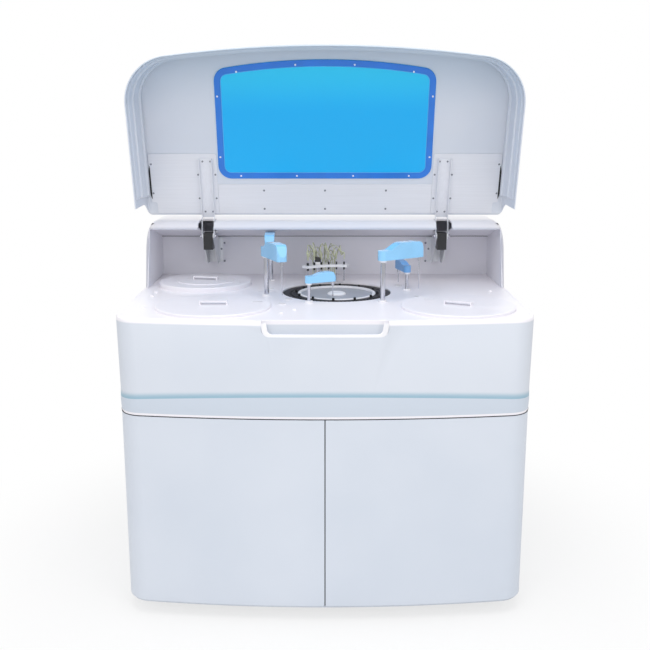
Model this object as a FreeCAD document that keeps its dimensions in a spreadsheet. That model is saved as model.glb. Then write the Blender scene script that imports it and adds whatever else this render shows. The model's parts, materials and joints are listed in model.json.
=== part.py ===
"""Floor-standing clinical chemistry analyzer with a raised lid.

The frame has X to the right, Y to the back and Z up. The origin lies on the floor, under the
middle of the machine. All lengths are in millimetres and all angles in degrees. Heights that
are named "above the deck" count from the flat working surface that carries the arms.
"""

import FreeCAD, Part
import math
import os
from types import SimpleNamespace

import Sketcher

Vector = FreeCAD.Vector

SIZES = {
    # Whole machine
    "overall_width": 1200,
    "layout_width": 1200,
    "front_reach": 421,
    "rear_reach": 415.6,
    "foot_height": 40,
    "cabinet_height": 591,
    "console_height": 288,
    "hood_height": 212,
    # Bowed plan of the front
    "bow_radius": 3800,
    "corner_radius": 75,
    "seam_setback": 17,
    "crease_setback": 15,
    "lip_setback": 9,
    "crease_height": 70,
    "lip_height": 36,
    "top_edge_round": 12,
    # Cabinet
    "sheet": 2,
    "plate": 4,
    "door_depth": 22,
    "door_gap": 3,
    "panel_depth": 25,
    "door_side_reach": 55,
    "door_pivot_inset": 11,
    "door_pivot_lead": 34,
    "door_pin_radius": 5,
    "door_stile": 15,
    "pin_clearance": 0.1,
    "bulkhead_y": 40,
    "shelf_height": 285,
    "shelf_reach": 250,
    "swing_room": 75,
    "foot_radius": 28,
    "foot_stem_radius": 8,
    "foot_spread_x": 960,
    "foot_front": 230,
    "foot_rear": 330,
    # Console
    "console_wall": 8,
    "recess_width": 356,
    "recess_height": 45,
    "recess_depth": 20,
    "recess_corner": 22,
    # Hood
    "hood_side": 9,
    "hood_skin": 4,
    "hood_foot_y": 104,
    "hood_knee_y": 134,
    "hood_knee_z": 124,
    "lip_depth": 24,
    "liner": 3,
    "ceiling_front_y": 208,
    "ceiling_rear_z": 139,
    "back_wall_y": 405,
    "hood_edge_round": 30,
    "notch_width": 54,
    "notch_rear_y": 300,
    # Lid, given as it lies closed
    "hinge_y": 252,
    "hinge_z": 157,
    "lid_opening": 75,
    "lid_gap": 6,
    "lid_rim_gap": 3,
    "lid_front": 415,
    "lid_top": 206,
    "lid_wall": 4,
    "lid_corner": 150,
    "lid_overhang": 12,
    "lid_lean": 34,
    "lid_edge_round": 14,
    "window_width": 718,
    "window_rear": 60,
    "window_front": 335,
    "window_arch": 2030,
    "window_corner": 44,
    "window_border": 20,
    "window_sheet": 3,
    "stiffener": 3,
    "strip_width": 728,
    "strip_front": 80,
    "strip_rear": 184,
    "side_plate_margin": 3,
    "side_plate_front": 26,
    "side_plate_rear": 184,
    "side_plate_step": 40,
    "screw_radius": 3.5,
    "screw_head": 2,
    # Lid hinges
    "hinge_x": 402,
    "arm_channel": 44,
    "arm_sheet": 2.5,
    "arm_flange": 12,
    "arm_front": 10,
    "ear_radius": 12,
    "bracket_play": 0.5,
    "bracket_foot_z": 46,
    "hinge_pin_radius": 4,
    "knob_radius": 7,
    "spring_box_width": 32,
    "spring_box_length": 46,
    "spring_box_height": 58,
    # Deck
    "deck_plate": 4,
    "cover_lap": 18,
    "cover_thickness": 9,
    "rear_cover_thickness": 15,
    "cover_spigot": 6,
    "front_reagent_x": -332,
    "front_reagent_y": -212,
    "front_cover_radius": 172,
    "rear_reagent_x": -406,
    "rear_reagent_y": 180,
    "rear_cover_radius": 155,
    "sample_x": 396,
    "sample_y": -218,
    "sample_cover_radius": 170,
    "handle_length": 84,
    "handle_width": 16,
    "handle_height": 11,
    "handle_bar": 4,
    # Reaction carousel
    "reaction_x": 38,
    "reaction_y": 44,
    "reaction_ring": 173,
    "ring_play": 3,
    "ring_inner": 127,
    "cuvette_circle": 150,
    "cuvette_count": 72,
    "cuvette_length": 9,
    "cuvette_width": 7,
    "cuvette_depth": 36,
    "ring_depth": 42,
    "ring_drop": 4,
    "grey_disc_radius": 118,
    "disc_plate": 8,
    "hub_radius": 30,
    "hub_height": 16,
    "clamp_count": 12,
    "clamp_radius": 4,
    "spindle_radius": 14,
    "bearing_radius": 26,
    "disc_drop": 58,
    "disc_play": 10,
    "bottle_count": 24,
    "bottle_radius": 11,
    "tube_count": 36,
    "tube_radius": 7,
    # Arms
    "shaft_radius": 7.5,
    "mixer_shaft_radius": 5,
    "running_fit": 0.05,
    "head_floor": 128,
    "head_back": 158,
    "head_crown": 178,
    "head_width": 32,
    "mixer_floor": 60,
    "mixer_crown": 91,
    "mixer_width": 24,
    "probe_radius": 1.5,
    "probe_tip": 26,
    "mixer_tip": 12,
    "collar_radius": 4.5,
    "collar_height": 12,
    "bush_radius": 13,
    "bush_height": 5,
    "carriage_top": 90,
    "carriage_height": 30,
    "carriage_width": 34,
    "shaft_tail": 12,
    "rail_side": 16,
    "rail_offset": 26,
    "rail_play": 0.3,
    "well_radius": 9,
    "well_depth": 55,
    "well_wall": 2,
    # Wash station
    "wash_post_x": -24,
    "wash_post_y": 226,
    "wash_post_radius": 6,
    "wash_post_height": 84,
    "wash_floor": 60,
    "wash_plate": 8,
    "nozzle_radius": 1.2,
    "nozzle_top": 96,
    "nozzle_tip": 12,
    "nozzle_pairs": 6,
    "tubing_radius": 1.6,
    "tubing_crown": 146,
    "tubing_rear_y": 300,
    "wash_first_angle": 76,
    "wash_band": 13,
    "clamp_reach": 38,
    "nozzle_spread": 2.4,
    # Details of the deck
    "deck_slot_margin": 20,
    "deck_slot_length": 64,
    "deck_slot_width": 8,
    "deck_slot_y": 55,
    "slot_round": 3.5,
    "cover_edge": 2.5,
    "raised_radius": 95,
    "raised_step": 3,
    "handle_front_turn": 0,
    "handle_rear_turn": -10,
    "handle_sample_turn": -24,
    "cap_radius": 6,
    "cap_height": 4,
    "spindle_depth": 200,
    "plate_drop": 8,
    "clamp_height": 8,
    "bath_room": 6,
    "bath_throat": 40,
    "bearing_top": 110,
    "disc_thickness": 12,
    "disc_knob": 30,
    "bottle_length": 46,
    "mixer_back": 82,
    # Details of the hood and lid
    "notch_floor": 120,
    "liner_knee_y": 172,
    "lid_tail": 20,
    "arm_tail": 8,
    "strip_screw_x": 208,
    "bracket_reach": 40,
    "bracket_tab": 14,
}

# Each arm: pivot, rest direction, reach, swing to its low end, swing to its well, rail direction
ARM_SIZES = {
    "reagent_arm_front": dict(x=-186, y=-25, points=-68, reach=150, low=-29.3, well=0, rail=180),
    "reagent_arm_rear": dict(x=-188, y=262, points=-88, reach=165, low=-44, well=0, rail=180),
    "sample_arm": dict(x=177, y=-127, points=34, reach=142, low=-35, well=0, rail=-50),
    "mixer_front": dict(x=-49, y=-138, points=24, reach=80, low=0, well=120, rail=-115),
    "mixer_rear": dict(x=269, y=73, points=105, reach=84, low=0, well=0, rail=0),
}
for arm_name, arm_sizes in ARM_SIZES.items():
    for word, amount in arm_sizes.items():
        SIZES[f"{arm_name}_{word}"] = amount

document = FreeCAD.newDocument("Analyzer")
sheet = document.addObject("Spreadsheet::Sheet", "Sizes")
for row, (name, value) in enumerate(SIZES.items(), 1):
    sheet.set(f"A{row}", name)
    sheet.set(f"B{row}", str(value))
    sheet.setAlias(f"B{row}", name)
document.recompute()


class Size:
    """A size that carries both its number and the sheet formula that gives it."""

    def __init__(self, number, formula=None):
        self.number = float(number)
        self.formula = formula or repr(float(number))

    @staticmethod
    def of(value):
        """Return value as a Size."""
        return value if isinstance(value, Size) else Size(value)

    def __add__(self, other):
        other = Size.of(other)
        return Size(self.number + other.number, f"({self.formula} + {other.formula})")

    def __sub__(self, other):
        other = Size.of(other)
        return Size(self.number - other.number, f"({self.formula} - {other.formula})")

    def __mul__(self, other):
        other = Size.of(other)
        return Size(self.number * other.number, f"({self.formula} * {other.formula})")

    def __truediv__(self, other):
        other = Size.of(other)
        return Size(self.number / other.number, f"({self.formula} / {other.formula})")

    def __radd__(self, other):
        return Size.of(other) + self

    def __rsub__(self, other):
        return Size.of(other) - self

    def __rmul__(self, other):
        return Size.of(other) * self

    def __neg__(self):
        return Size(-self.number, f"(0 - {self.formula})")

    def root(self):
        """Return the square root."""
        return Size(math.sqrt(self.number), f"sqrt({self.formula})")

    def sine(self):
        """Return the sine of an angle in degrees."""
        return Size(math.sin(math.radians(self.number)), f"sin({self.formula})")

    def cosine(self):
        """Return the cosine of an angle in degrees."""
        return Size(math.cos(math.radians(self.number)), f"cos({self.formula})")


s = SimpleNamespace(**{name: Size(value, f"Sizes.{name}") for name, value in SIZES.items()})


def across(offset):
    """Return an X of the working layout, which spreads with the machine's width."""
    return offset * s.overall_width / s.layout_width


# Levels and planes that several pieces share
half_width = s.overall_width / 2
seam_z = s.foot_height + s.cabinet_height
deck_z = seam_z + s.console_height
top_front = -s.front_reach
seam_front = top_front + s.seam_setback
rear_y = s.rear_reach
console_floor_z = seam_z + s.plate

# Middles of the discs and of the wash station's post
front_reagent_x = across(s.front_reagent_x)
rear_reagent_x = across(s.rear_reagent_x)
sample_x = across(s.sample_x)
reaction_x = across(s.reaction_x)
wash_post_x = across(s.wash_post_x)

pieces = {}


def number(value):
    """Return the plain number of a size."""
    return Size.of(value).number


def bind(thing, path, value):
    """Tie one property of an object to its formula."""
    thing.setExpression(path, Size.of(value).formula)


def place(thing, x=0, y=0, z=0, turn=0, axis=(0, 0, 1)):
    """Put an object's own origin at x, y, z, turned by an angle about an axis."""
    thing.Placement = FreeCAD.Placement(Vector(), FreeCAD.Rotation(Vector(*axis), number(turn)))
    for letter, value in zip("xyz", (x, y, z)):
        bind(thing, f"Placement.Base.{letter}", value)
    return thing


def finish(thing, label):
    """Name an object as one finished piece of the machine."""
    thing.Label = label
    pieces[label] = thing
    return thing


class Loop:
    """A closed outline of straight edges and arcs.

    Each corner is (x, y) or (x, y, bend). A bend is the radius of the arc that runs from this
    corner to the next. It is positive where the middle of the arc lies on the left.
    """

    def __init__(self, *corners):
        self.corners = corners

    @staticmethod
    def arc(start, end, bend):
        """Return the arc from start to end with the given bend."""
        half = (end - start) * 0.5
        normal = Vector(-half.y, half.x, 0)
        rise = math.sqrt(max(bend * bend - half.Length ** 2, 0))
        side = 1 if bend > 0 else -1
        centre = start + half + normal * (side * rise / half.Length)
        middle = centre - normal * (side * abs(bend) / half.Length)
        return Part.Arc(start, middle, end)

    def draw(self, sketch):
        """Add the outline to a sketch and tie its corners and radii."""
        first = sketch.GeometryCount
        count = len(self.corners)
        points = [Vector(number(c[0]), number(c[1]), 0) for c in self.corners]
        ends = []
        for index, corner in enumerate(self.corners):
            start = points[index]
            end = points[(index + 1) % count]
            if len(corner) == 3:
                sketch.addGeometry(self.arc(start, end, number(corner[2])))
                ends.append((1, 2) if number(corner[2]) > 0 else (2, 1))
            else:
                sketch.addGeometry(Part.LineSegment(start, end))
                ends.append((1, 2))
        for index, corner in enumerate(self.corners):
            edge = first + index
            before = first + (index - 1) % count
            sketch.addConstraint(
                Sketcher.Constraint("Coincident", before, ends[index - 1][1], edge, ends[index][0])
            )
            for kind, value in zip(("DistanceX", "DistanceY"), corner):
                tie = Sketcher.Constraint(kind, -1, 1, edge, ends[index][0], number(value))
                bind(sketch, f"Constraints[{sketch.addConstraint(tie)}]", value)
            if len(corner) == 3:
                radius = corner[2] if number(corner[2]) > 0 else -corner[2]
                tie = Sketcher.Constraint("Radius", edge, number(radius))
                bind(sketch, f"Constraints[{sketch.addConstraint(tie)}]", radius)


class Ring:
    """A circle in a sketch."""

    def __init__(self, x, y, radius):
        self.x = x
        self.y = y
        self.radius = radius

    def draw(self, sketch):
        """Add the circle to a sketch and tie its centre and radius."""
        centre = Vector(number(self.x), number(self.y), 0)
        edge = sketch.addGeometry(Part.Circle(centre, Vector(0, 0, 1), number(self.radius)))
        for kind, value in (("DistanceX", self.x), ("DistanceY", self.y)):
            tie = Sketcher.Constraint(kind, -1, 1, edge, 3, number(value))
            bind(sketch, f"Constraints[{sketch.addConstraint(tie)}]", value)
        tie = Sketcher.Constraint("Radius", edge, number(self.radius))
        bind(sketch, f"Constraints[{sketch.addConstraint(tie)}]", self.radius)


def rectangle(left, low, right, high):
    """Return a plain rectangle."""
    return Loop((left, low), (right, low), (right, high), (left, high))


def rounded(left, low, right, high, radius):
    """Return a rectangle with four round corners."""
    return Loop(
        (left + radius, low),
        (right - radius, low, radius),
        (right, low + radius),
        (right, high - radius, radius),
        (right - radius, high),
        (left + radius, high, radius),
        (left, high - radius),
        (left, low + radius, radius),
    )


def bow_depth(front, bow, x):
    """Return the Y of a front arc at a given X."""
    return front + bow - (bow * bow - x * x).root()


def corner_line(half, front, bow, corner):
    """Return the tangent points of a round front corner: X and Y on the bow, then the side's Y."""
    drop = ((bow - corner) * (bow - corner) - (half - corner) * (half - corner)).root()
    share = bow / (bow - corner)
    return (half - corner) * share, front + bow - drop * share, front + bow - drop


def bowed_plan(half, front, rear, bow, corner):
    """Return the plan of the machine: bowed front, round front corners, square back."""
    touch_x, touch_y, side_y = corner_line(half, front, bow, corner)
    return Loop(
        (-touch_x, touch_y, bow),
        (touch_x, touch_y, corner),
        (half, side_y),
        (half, rear),
        (-half, rear),
        (-half, side_y, corner),
    )


class Piece:
    """One body that is built up by sketched features."""

    def __init__(self, name):
        self.name = name
        self.body = document.addObject("PartDesign::Body", name)
        self.steps = 0

    def origin(self, role):
        """Return one of the body's own planes or axes."""
        return next(f for f in self.body.Origin.OriginFeatures if f.Role == role)

    def sketch(self, plane, *outlines, level=0):
        """Draw outlines on one of the body's own planes, raised along its normal by level."""
        self.steps += 1
        sketch = self.body.newObject("Sketcher::SketchObject", f"{self.name}_sketch_{self.steps}")
        sketch.AttachmentSupport = [(self.origin(f"{plane}_Plane"), "")]
        sketch.MapMode = "FlatFace"
        bind(sketch, "AttachmentOffset.Base.z", level)
        for outline in outlines:
            outline.draw(sketch)
        return sketch

    def feature(self, kind, **settings):
        """Add one feature and make it the tip of the body."""
        self.steps += 1
        feature = self.body.newObject(f"PartDesign::{kind}", f"{self.name}_{kind}_{self.steps}")
        for name, value in settings.items():
            setattr(feature, name, value)
        self.body.Tip = feature
        return feature

    def pad(self, sketch, length, both=False, back=False):
        """Pad a sketch along its normal, both ways or backwards."""
        feature = self.feature("Pad", Profile=sketch, Reversed=back)
        feature.SideType = "Symmetric" if both else "One side"
        bind(feature, "Length", length)
        return self

    def pocket(self, sketch, length, both=False, back=False):
        """Cut a sketch against its normal, both ways or backwards."""
        feature = self.feature("Pocket", Profile=sketch, Reversed=back)
        feature.SideType = "Symmetric" if both else "One side"
        bind(feature, "Length", length)
        return self

    def revolve(self, sketch, axis="Z_Axis"):
        """Turn a sketch once round one of the body's own axes."""
        self.feature("Revolution", Profile=sketch, ReferenceAxis=(self.origin(axis), [""]))
        return self

    def polar(self, count, axis="Z_Axis"):
        """Repeat the last feature round an axis."""
        original = self.body.Tip
        feature = self.feature("PolarPattern", Originals=[original], Axis=(self.origin(axis), [""]))
        feature.Angle = 360
        bind(feature, "Occurrences", count)
        return self

    def row(self, count, length, axis="X_Axis", back=False):
        """Repeat the last feature along an axis over a length."""
        original = self.body.Tip
        feature = self.feature(
            "LinearPattern", Originals=[original], Direction=(self.origin(axis), [""]), Reversed=back
        )
        bind(feature, "Length", length)
        bind(feature, "Occurrences", count)
        return self

    def soften(self, radius, chosen, kind="Fillet"):
        """Round or bevel the edges that the chosen test accepts."""
        document.recompute()
        tip = self.body.Tip
        edges = [f"Edge{i}" for i, edge in enumerate(tip.Shape.Edges, 1) if chosen(edge)]
        feature = self.feature(kind, Base=(tip, edges))
        bind(feature, "Radius" if kind == "Fillet" else "Size", radius)
        return self


def parallel(letter):
    """Accept straight edges that run along one axis."""
    def test(edge):
        if edge.Curve.TypeId != "Part::GeomLine":
            return False
        return abs(abs(getattr(edge.Curve.Direction, letter)) - 1) < 1e-6
    return test


def level_with(letter, value):
    """Accept edges that lie in the plane where one coordinate has the given value."""
    def test(edge):
        return all(abs(getattr(v.Point, letter) - number(value)) < 1e-3 for v in edge.Vertexes)
    return test


def all_of(*tests):
    """Accept edges that pass every test."""
    def test(edge):
        return all(one(edge) for one in tests)
    return test


def block(name, low, high):
    """Return a box between two opposite corners."""
    box = document.addObject("Part::Box", name)
    for path, start, end in zip(("Length", "Width", "Height"), low, high):
        bind(box, path, Size.of(end) - start)
    return place(box, *low)


def rod(name, radius, x, y, low, high):
    """Return an upright cylinder."""
    cylinder = document.addObject("Part::Cylinder", name)
    bind(cylinder, "Radius", radius)
    bind(cylinder, "Height", Size.of(high) - low)
    return place(cylinder, x, y, low)


def crossbar(name, radius, start, end, y, z):
    """Return a cylinder along X from start to end."""
    cylinder = document.addObject("Part::Cylinder", name)
    bind(cylinder, "Radius", radius)
    bind(cylinder, "Height", Size.of(end) - start)
    return place(cylinder, start, y, z, 90, (0, 1, 0))


def part_of(thing):
    """Return the document object of a Piece or of a plain object."""
    return thing.body if isinstance(thing, Piece) else thing


def joined(name, *things):
    """Return the union of several objects."""
    union = document.addObject("Part::MultiFuse", name)
    union.Shapes = [part_of(thing) for thing in things]
    return union


def group(name, *things):
    """Return several separate solids as one object."""
    compound = document.addObject("Part::Compound", name)
    compound.Links = [part_of(thing) for thing in things]
    return compound


def carved(name, base, *tools):
    """Return an object with others cut out of it."""
    result = document.addObject("Part::Cut", name)
    result.Base = part_of(base)
    result.Tool = part_of(tools[0]) if len(tools) == 1 else joined(f"{name}_tools", *tools)
    return result


def common(name, one, other):
    """Return what two objects share."""
    result = document.addObject("Part::Common", name)
    result.Base = part_of(one)
    result.Tool = part_of(other)
    return result


# Cabinet

def cabinet_plan(inset, front=seam_front):
    """Return the plan of the cabinet, drawn in by an inset."""
    return bowed_plan(
        half_width - inset, front + inset, rear_y - inset, s.bow_radius - inset, s.corner_radius - inset
    )


side_tangent_y = corner_line(half_width, seam_front, s.bow_radius, s.corner_radius)[2]
door_end_y = side_tangent_y + s.door_side_reach
door_floor_z = s.foot_height + s.plate + s.door_gap
door_top_z = seam_z - s.door_gap
pivot_x = half_width - s.door_pivot_inset
pivot_y = door_end_y - s.door_pivot_lead


def make_base():
    """Make the floor plate of the cabinet."""
    floor = Piece("floor")
    floor.pad(floor.sketch("XY", cabinet_plan(s.lid_gap), level=s.foot_height), s.plate)
    finish(floor.body, "cabinet_floor")


def make_feet():
    """Make four levelling feet, each a pad with its stem."""
    feet = []
    for side in (-1, 1):
        for y in (-s.foot_front, s.foot_rear):
            foot = Piece("foot")
            foot.revolve(foot.sketch("XZ", Loop(
                (0, 0),
                (s.foot_radius, 0),
                (s.foot_radius, s.foot_height / 5),
                (s.foot_stem_radius * 1.5, s.foot_height * 0.4),
                (s.foot_stem_radius, s.foot_height * 0.4),
                (s.foot_stem_radius, s.foot_height),
                (0, s.foot_height),
            )))
            feet.append(place(foot.body, side * s.foot_spread_x / 2, y, 0))
    finish(group("feet", *feet), "levelling_feet")


def make_side_panels():
    """Make the two side panels, each a sheet with its edges folded in."""
    for side, label in ((-1, "side_panel_left"), (1, "side_panel_right")):
        panel = Piece(label)
        low_y = door_end_y + s.door_gap
        outer = rectangle(low_y, s.foot_height + s.plate, rear_y, seam_z)
        inner = rectangle(
            low_y + s.sheet, s.foot_height + s.plate + s.sheet, rear_y - s.sheet, seam_z - s.sheet
        )
        panel.pad(panel.sketch("YZ", outer, level=side * half_width), s.panel_depth, back=side > 0)
        inner_level = side * (half_width - s.panel_depth)
        panel.pocket(
            panel.sketch("YZ", inner, level=inner_level), s.panel_depth - s.sheet, back=side > 0
        )
        finish(panel.body, label)


def make_rear_panel():
    """Make the rear panel with its two fields of louvre slots and the inlet cut-out."""
    panel = Piece("rear_panel")
    inner = half_width - s.panel_depth
    low = s.foot_height + s.plate
    panel.pad(panel.sketch("XZ", rectangle(-inner, low, inner, seam_z), level=-rear_y), s.sheet)
    for side in (-1, 1):
        middle = side * s.overall_width * 0.27
        slot = rounded(middle - 110, low + 330, middle + 110, low + 338, Size(3.9))
        panel.pocket(panel.sketch("XZ", slot, level=-rear_y), s.sheet * 4, both=True)
        panel.row(9, 176, "Z_Axis")
    hatch = rectangle(inlet_x - 24, inlet_z - 16, inlet_x + 24, inlet_z + 16)
    panel.pocket(panel.sketch("XZ", hatch, level=-rear_y), s.sheet * 4, both=True)
    finish(panel.body, "rear_panel")


inlet_x = half_width * -0.72
inlet_z = s.foot_height + 90


def make_inlet():
    """Make the power inlet: a flanged socket with three pins' worth of recess."""
    inlet = Piece("inlet")
    flange = rounded(inlet_x - 30, inlet_z - 22, inlet_x + 30, inlet_z + 22, Size(5))
    inlet.pad(inlet.sketch("XZ", flange, level=-rear_y), 3, back=True)
    barrel = rounded(inlet_x - 23.5, inlet_z - 15.5, inlet_x + 23.5, inlet_z + 15.5, Size(4))
    inlet.pad(inlet.sketch("XZ", barrel, level=-rear_y), 26)
    mouth = rounded(inlet_x - 15, inlet_z - 10, inlet_x + 15, inlet_z + 10, Size(3))
    inlet.pocket(inlet.sketch("XZ", mouth, level=-rear_y - 3), 20, back=True)
    finish(inlet.body, "power_inlet")


def door_band(side, middle, end_y, outer, inner):
    """Return half of the bowed plan as a band between two insets, from middle to end_y."""
    rows = []
    for inset in (outer, inner):
        half = half_width - inset
        bow = s.bow_radius - inset
        corner = s.corner_radius - inset
        front = seam_front + inset
        touch_x, touch_y, side_y = corner_line(half, front, bow, corner)
        rows.append(SimpleNamespace(
            half=half, bow=bow, corner=corner, touch_x=touch_x, touch_y=touch_y, side_y=side_y,
            start_y=bow_depth(front, bow, middle),
        ))
    far, near = rows
    return Loop(
        (side * middle, far.start_y, side * far.bow),
        (side * far.touch_x, far.touch_y, side * far.corner),
        (side * far.half, far.side_y),
        (side * far.half, end_y),
        (side * near.half, end_y),
        (side * near.half, near.side_y, -side * near.corner),
        (side * near.touch_x, near.touch_y, -side * near.bow),
        (side * middle, near.start_y),
    )


def make_doors():
    """Make the two doors: bowed trays that wrap round the front corners to a solid hinge stile."""
    height = door_top_z - door_floor_z
    for side, label in ((-1, "door_left"), (1, "door_right")):
        door = Piece(label)
        middle = s.door_gap / 2
        full = door_band(side, middle, door_end_y, Size(0), s.door_depth)
        door.pad(door.sketch("XY", full, level=door_floor_z), height)
        stile_y = pivot_y - s.door_stile
        hollow = door_band(side, middle + s.sheet, stile_y, s.sheet, s.door_depth + s.sheet)
        door.pocket(
            door.sketch("XY", hollow, level=door_floor_z + s.sheet), height - s.sheet * 2, back=True
        )
        bore = Ring(side * pivot_x, pivot_y, s.door_pin_radius + s.pin_clearance)
        door.pocket(door.sketch("XY", bore, level=door_floor_z), height, back=True)
        finish(door.body, label)


def door_pins():
    """Return the four pins that the doors turn on, on the floor and under the console."""
    pins = []
    length = s.plate * 5
    for side in (-1, 1):
        x = side * pivot_x
        pins.append(rod("pin", s.door_pin_radius, x, pivot_y, s.foot_height + s.plate, door_floor_z + length))
        pins.append(rod("pin", s.door_pin_radius, x, pivot_y, door_top_z - length, seam_z))
    return pins


def make_bulkhead():
    """Make the upright wall that parts the front compartment from the back."""
    inner = half_width - s.panel_depth
    low = s.foot_height + s.plate
    wall = Piece("bulkhead")
    wall.pad(wall.sketch("XZ", rectangle(-inner, low, inner, seam_z), level=-s.bulkhead_y), s.sheet, back=True)
    finish(wall.body, "bulkhead")
    shelf = Piece("shelf")
    reach = half_width - s.swing_room
    shelf_z = s.foot_height + s.shelf_height
    profile = Loop(
        (s.bulkhead_y - s.shelf_reach, shelf_z - s.plate * 5),
        (s.bulkhead_y - s.shelf_reach + s.sheet, shelf_z - s.plate * 5),
        (s.bulkhead_y - s.shelf_reach + s.sheet, shelf_z - s.sheet),
        (s.bulkhead_y - s.sheet, shelf_z - s.sheet),
        (s.bulkhead_y - s.sheet, shelf_z - s.plate * 5),
        (s.bulkhead_y, shelf_z - s.plate * 5),
        (s.bulkhead_y, shelf_z),
        (s.bulkhead_y - s.shelf_reach, shelf_z),
    )
    shelf.pad(shelf.sketch("YZ", profile), reach * 2, both=True)
    finish(shelf.body, "cabinet_shelf")


def make_internals():
    """Make the units that stand in the cabinet."""
    shelf_z = s.foot_height + s.shelf_height
    floor_z = s.foot_height + s.plate
    front = s.bulkhead_y - s.shelf_reach
    frame = Piece("pump_frame")
    case = rectangle(across(Size(-430)), shelf_z, across(Size(-40)), shelf_z + 190)
    frame.pad(frame.sketch("XZ", case, level=-s.bulkhead_y), 40)
    frame.soften(s.plate, parallel("y"))
    syringes = []
    for index in range(5):
        x = across(Size(-400 + 82 * index))
        barrel = Piece("syringe")
        barrel.revolve(barrel.sketch("XZ", Loop(
            (0, 0), (6, 0), (6, 24), (16, 28), (16, 118), (9, 126), (9, 140), (0, 140)
        )))
        syringes.append(place(barrel.body, x, s.bulkhead_y - 40 - 16, shelf_z + 20))
    finish(group("syringe_unit", frame, *syringes), "syringe_pump")
    box = Piece("electronics")
    near = across(Size(40))
    far = across(Size(470))
    box.pad(box.sketch("XY", rectangle(near, front + 40, far, s.bulkhead_y), level=shelf_z), 200)
    slot = rounded(near + 40, shelf_z + 30, far - 40, shelf_z + 36, Size(2.9))
    box.pocket(box.sketch("XZ", slot, level=-(front + 40)), 4)
    box.row(7, 130, "Z_Axis")
    inside = rectangle(near + s.sheet, shelf_z + s.sheet, far - s.sheet, shelf_z + 200 - s.sheet)
    box.pocket(box.sketch("XZ", inside, level=-s.bulkhead_y), s.shelf_reach - 46)
    finish(box.body, "electronics_box")
    tanks = []
    for x in (across(Size(-440)), across(Size(-180)), across(Size(80))):
        tank = Piece("tank")
        low_y = front + 20
        outline = rounded(x, low_y, x + 220, s.bulkhead_y - 10, Size(30))
        tank.pad(tank.sketch("XY", outline, level=floor_z), 190)
        tank.pad(tank.sketch("XY", Ring(x + 60, low_y + 60, 26), level=floor_z + 190), 24)
        tanks.append(tank)
    finish(group("tanks", *tanks), "fluid_tanks")
    pumps = []
    for x in (across(Size(350)), across(Size(430))):
        pump = joined(
            "pump",
            rod("motor", 30, x, front + 90, floor_z, floor_z + 80),
            block("head", (x - 34, front + 56, floor_z + 80), (x + 34, front + 124, floor_z + 112)),
        )
        pumps.append(pump)
    finish(group("pumps", *pumps), "vacuum_pumps")


# Console

def make_console():
    """Make the bowed console shell: a loft with a pressed-in crease and a finger recess."""
    outer = Piece("console_outer")
    levels = (
        (seam_z, s.seam_setback, s.corner_radius),
        (seam_z + s.lip_height, s.lip_setback, s.corner_radius),
        (seam_z + s.crease_height, s.crease_setback, s.corner_radius),
        (deck_z - s.top_edge_round, Size(0), s.corner_radius),
        (deck_z - s.top_edge_round * 0.3, s.top_edge_round * 0.3, s.corner_radius),
        (deck_z, s.top_edge_round, s.corner_radius),
    )
    sections = []
    for level, setback, corner in levels:
        front = top_front + setback
        sections.append(outer.sketch("XY", bowed_plan(half_width, front, rear_y, s.bow_radius, corner), level=level))
    outer.feature("AdditiveLoft", Profile=sections[0], Sections=sections[1:], Ruled=True)
    hollow = Piece("console_hollow")
    wall = s.console_wall
    inner_plan = bowed_plan(
        half_width - wall, seam_front + wall, rear_y - wall, s.bow_radius - wall, s.corner_radius - wall
    )
    hollow.pad(hollow.sketch("XY", inner_plan, level=seam_z - 1), s.console_height + 2)
    recess = Piece("recess")
    left = -s.recess_width / 2
    right = s.recess_width / 2
    low = deck_z - s.recess_height
    mouth = Loop(
        (left + s.recess_corner, low),
        (right - s.recess_corner, low, s.recess_corner),
        (right, low + s.recess_corner),
        (right, deck_z + 1),
        (left, deck_z + 1),
        (left, low + s.recess_corner, s.recess_corner),
    )
    recess.pad(recess.sketch("XZ", mouth, level=s.front_reach - s.recess_depth), s.recess_depth * 2)
    finish(carved("console", outer, hollow, recess), "console_shell")


def inner_console_plan(play):
    """Return the plan of what fits inside the console wall."""
    wall = s.console_wall + play
    return bowed_plan(
        half_width - wall, seam_front + wall, rear_y - wall, s.bow_radius - wall, s.corner_radius - wall
    )


def make_console_floor():
    """Make the plate that closes the console below and carries the works."""
    floor = Piece("console_floor")
    floor.pad(floor.sketch("XY", inner_console_plan(Size(0)), level=seam_z), s.plate)
    finish(floor.body, "console_floor")


# Arms, each with its pivot, rest direction and reach

ARMS = {
    arm_name: dict(
        {word: getattr(s, f"{arm_name}_{word}") for word in arm_sizes}, mixer=arm_name.startswith("mixer")
    )
    for arm_name, arm_sizes in ARM_SIZES.items()
}
for arm in ARMS.values():
    arm["x"] = across(arm["x"])


def polar_point(x, y, reach, angle):
    """Return the point at a reach and angle from x, y."""
    turn = Size.of(angle)
    return x + turn.cosine() * reach, y + turn.sine() * reach


def tip_of(name, swing=0):
    """Return where an arm's probe stands, on the deck, after a swing from rest."""
    arm = ARMS[name]
    return polar_point(arm["x"], arm["y"], arm["reach"], arm["points"] + swing)


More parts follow.
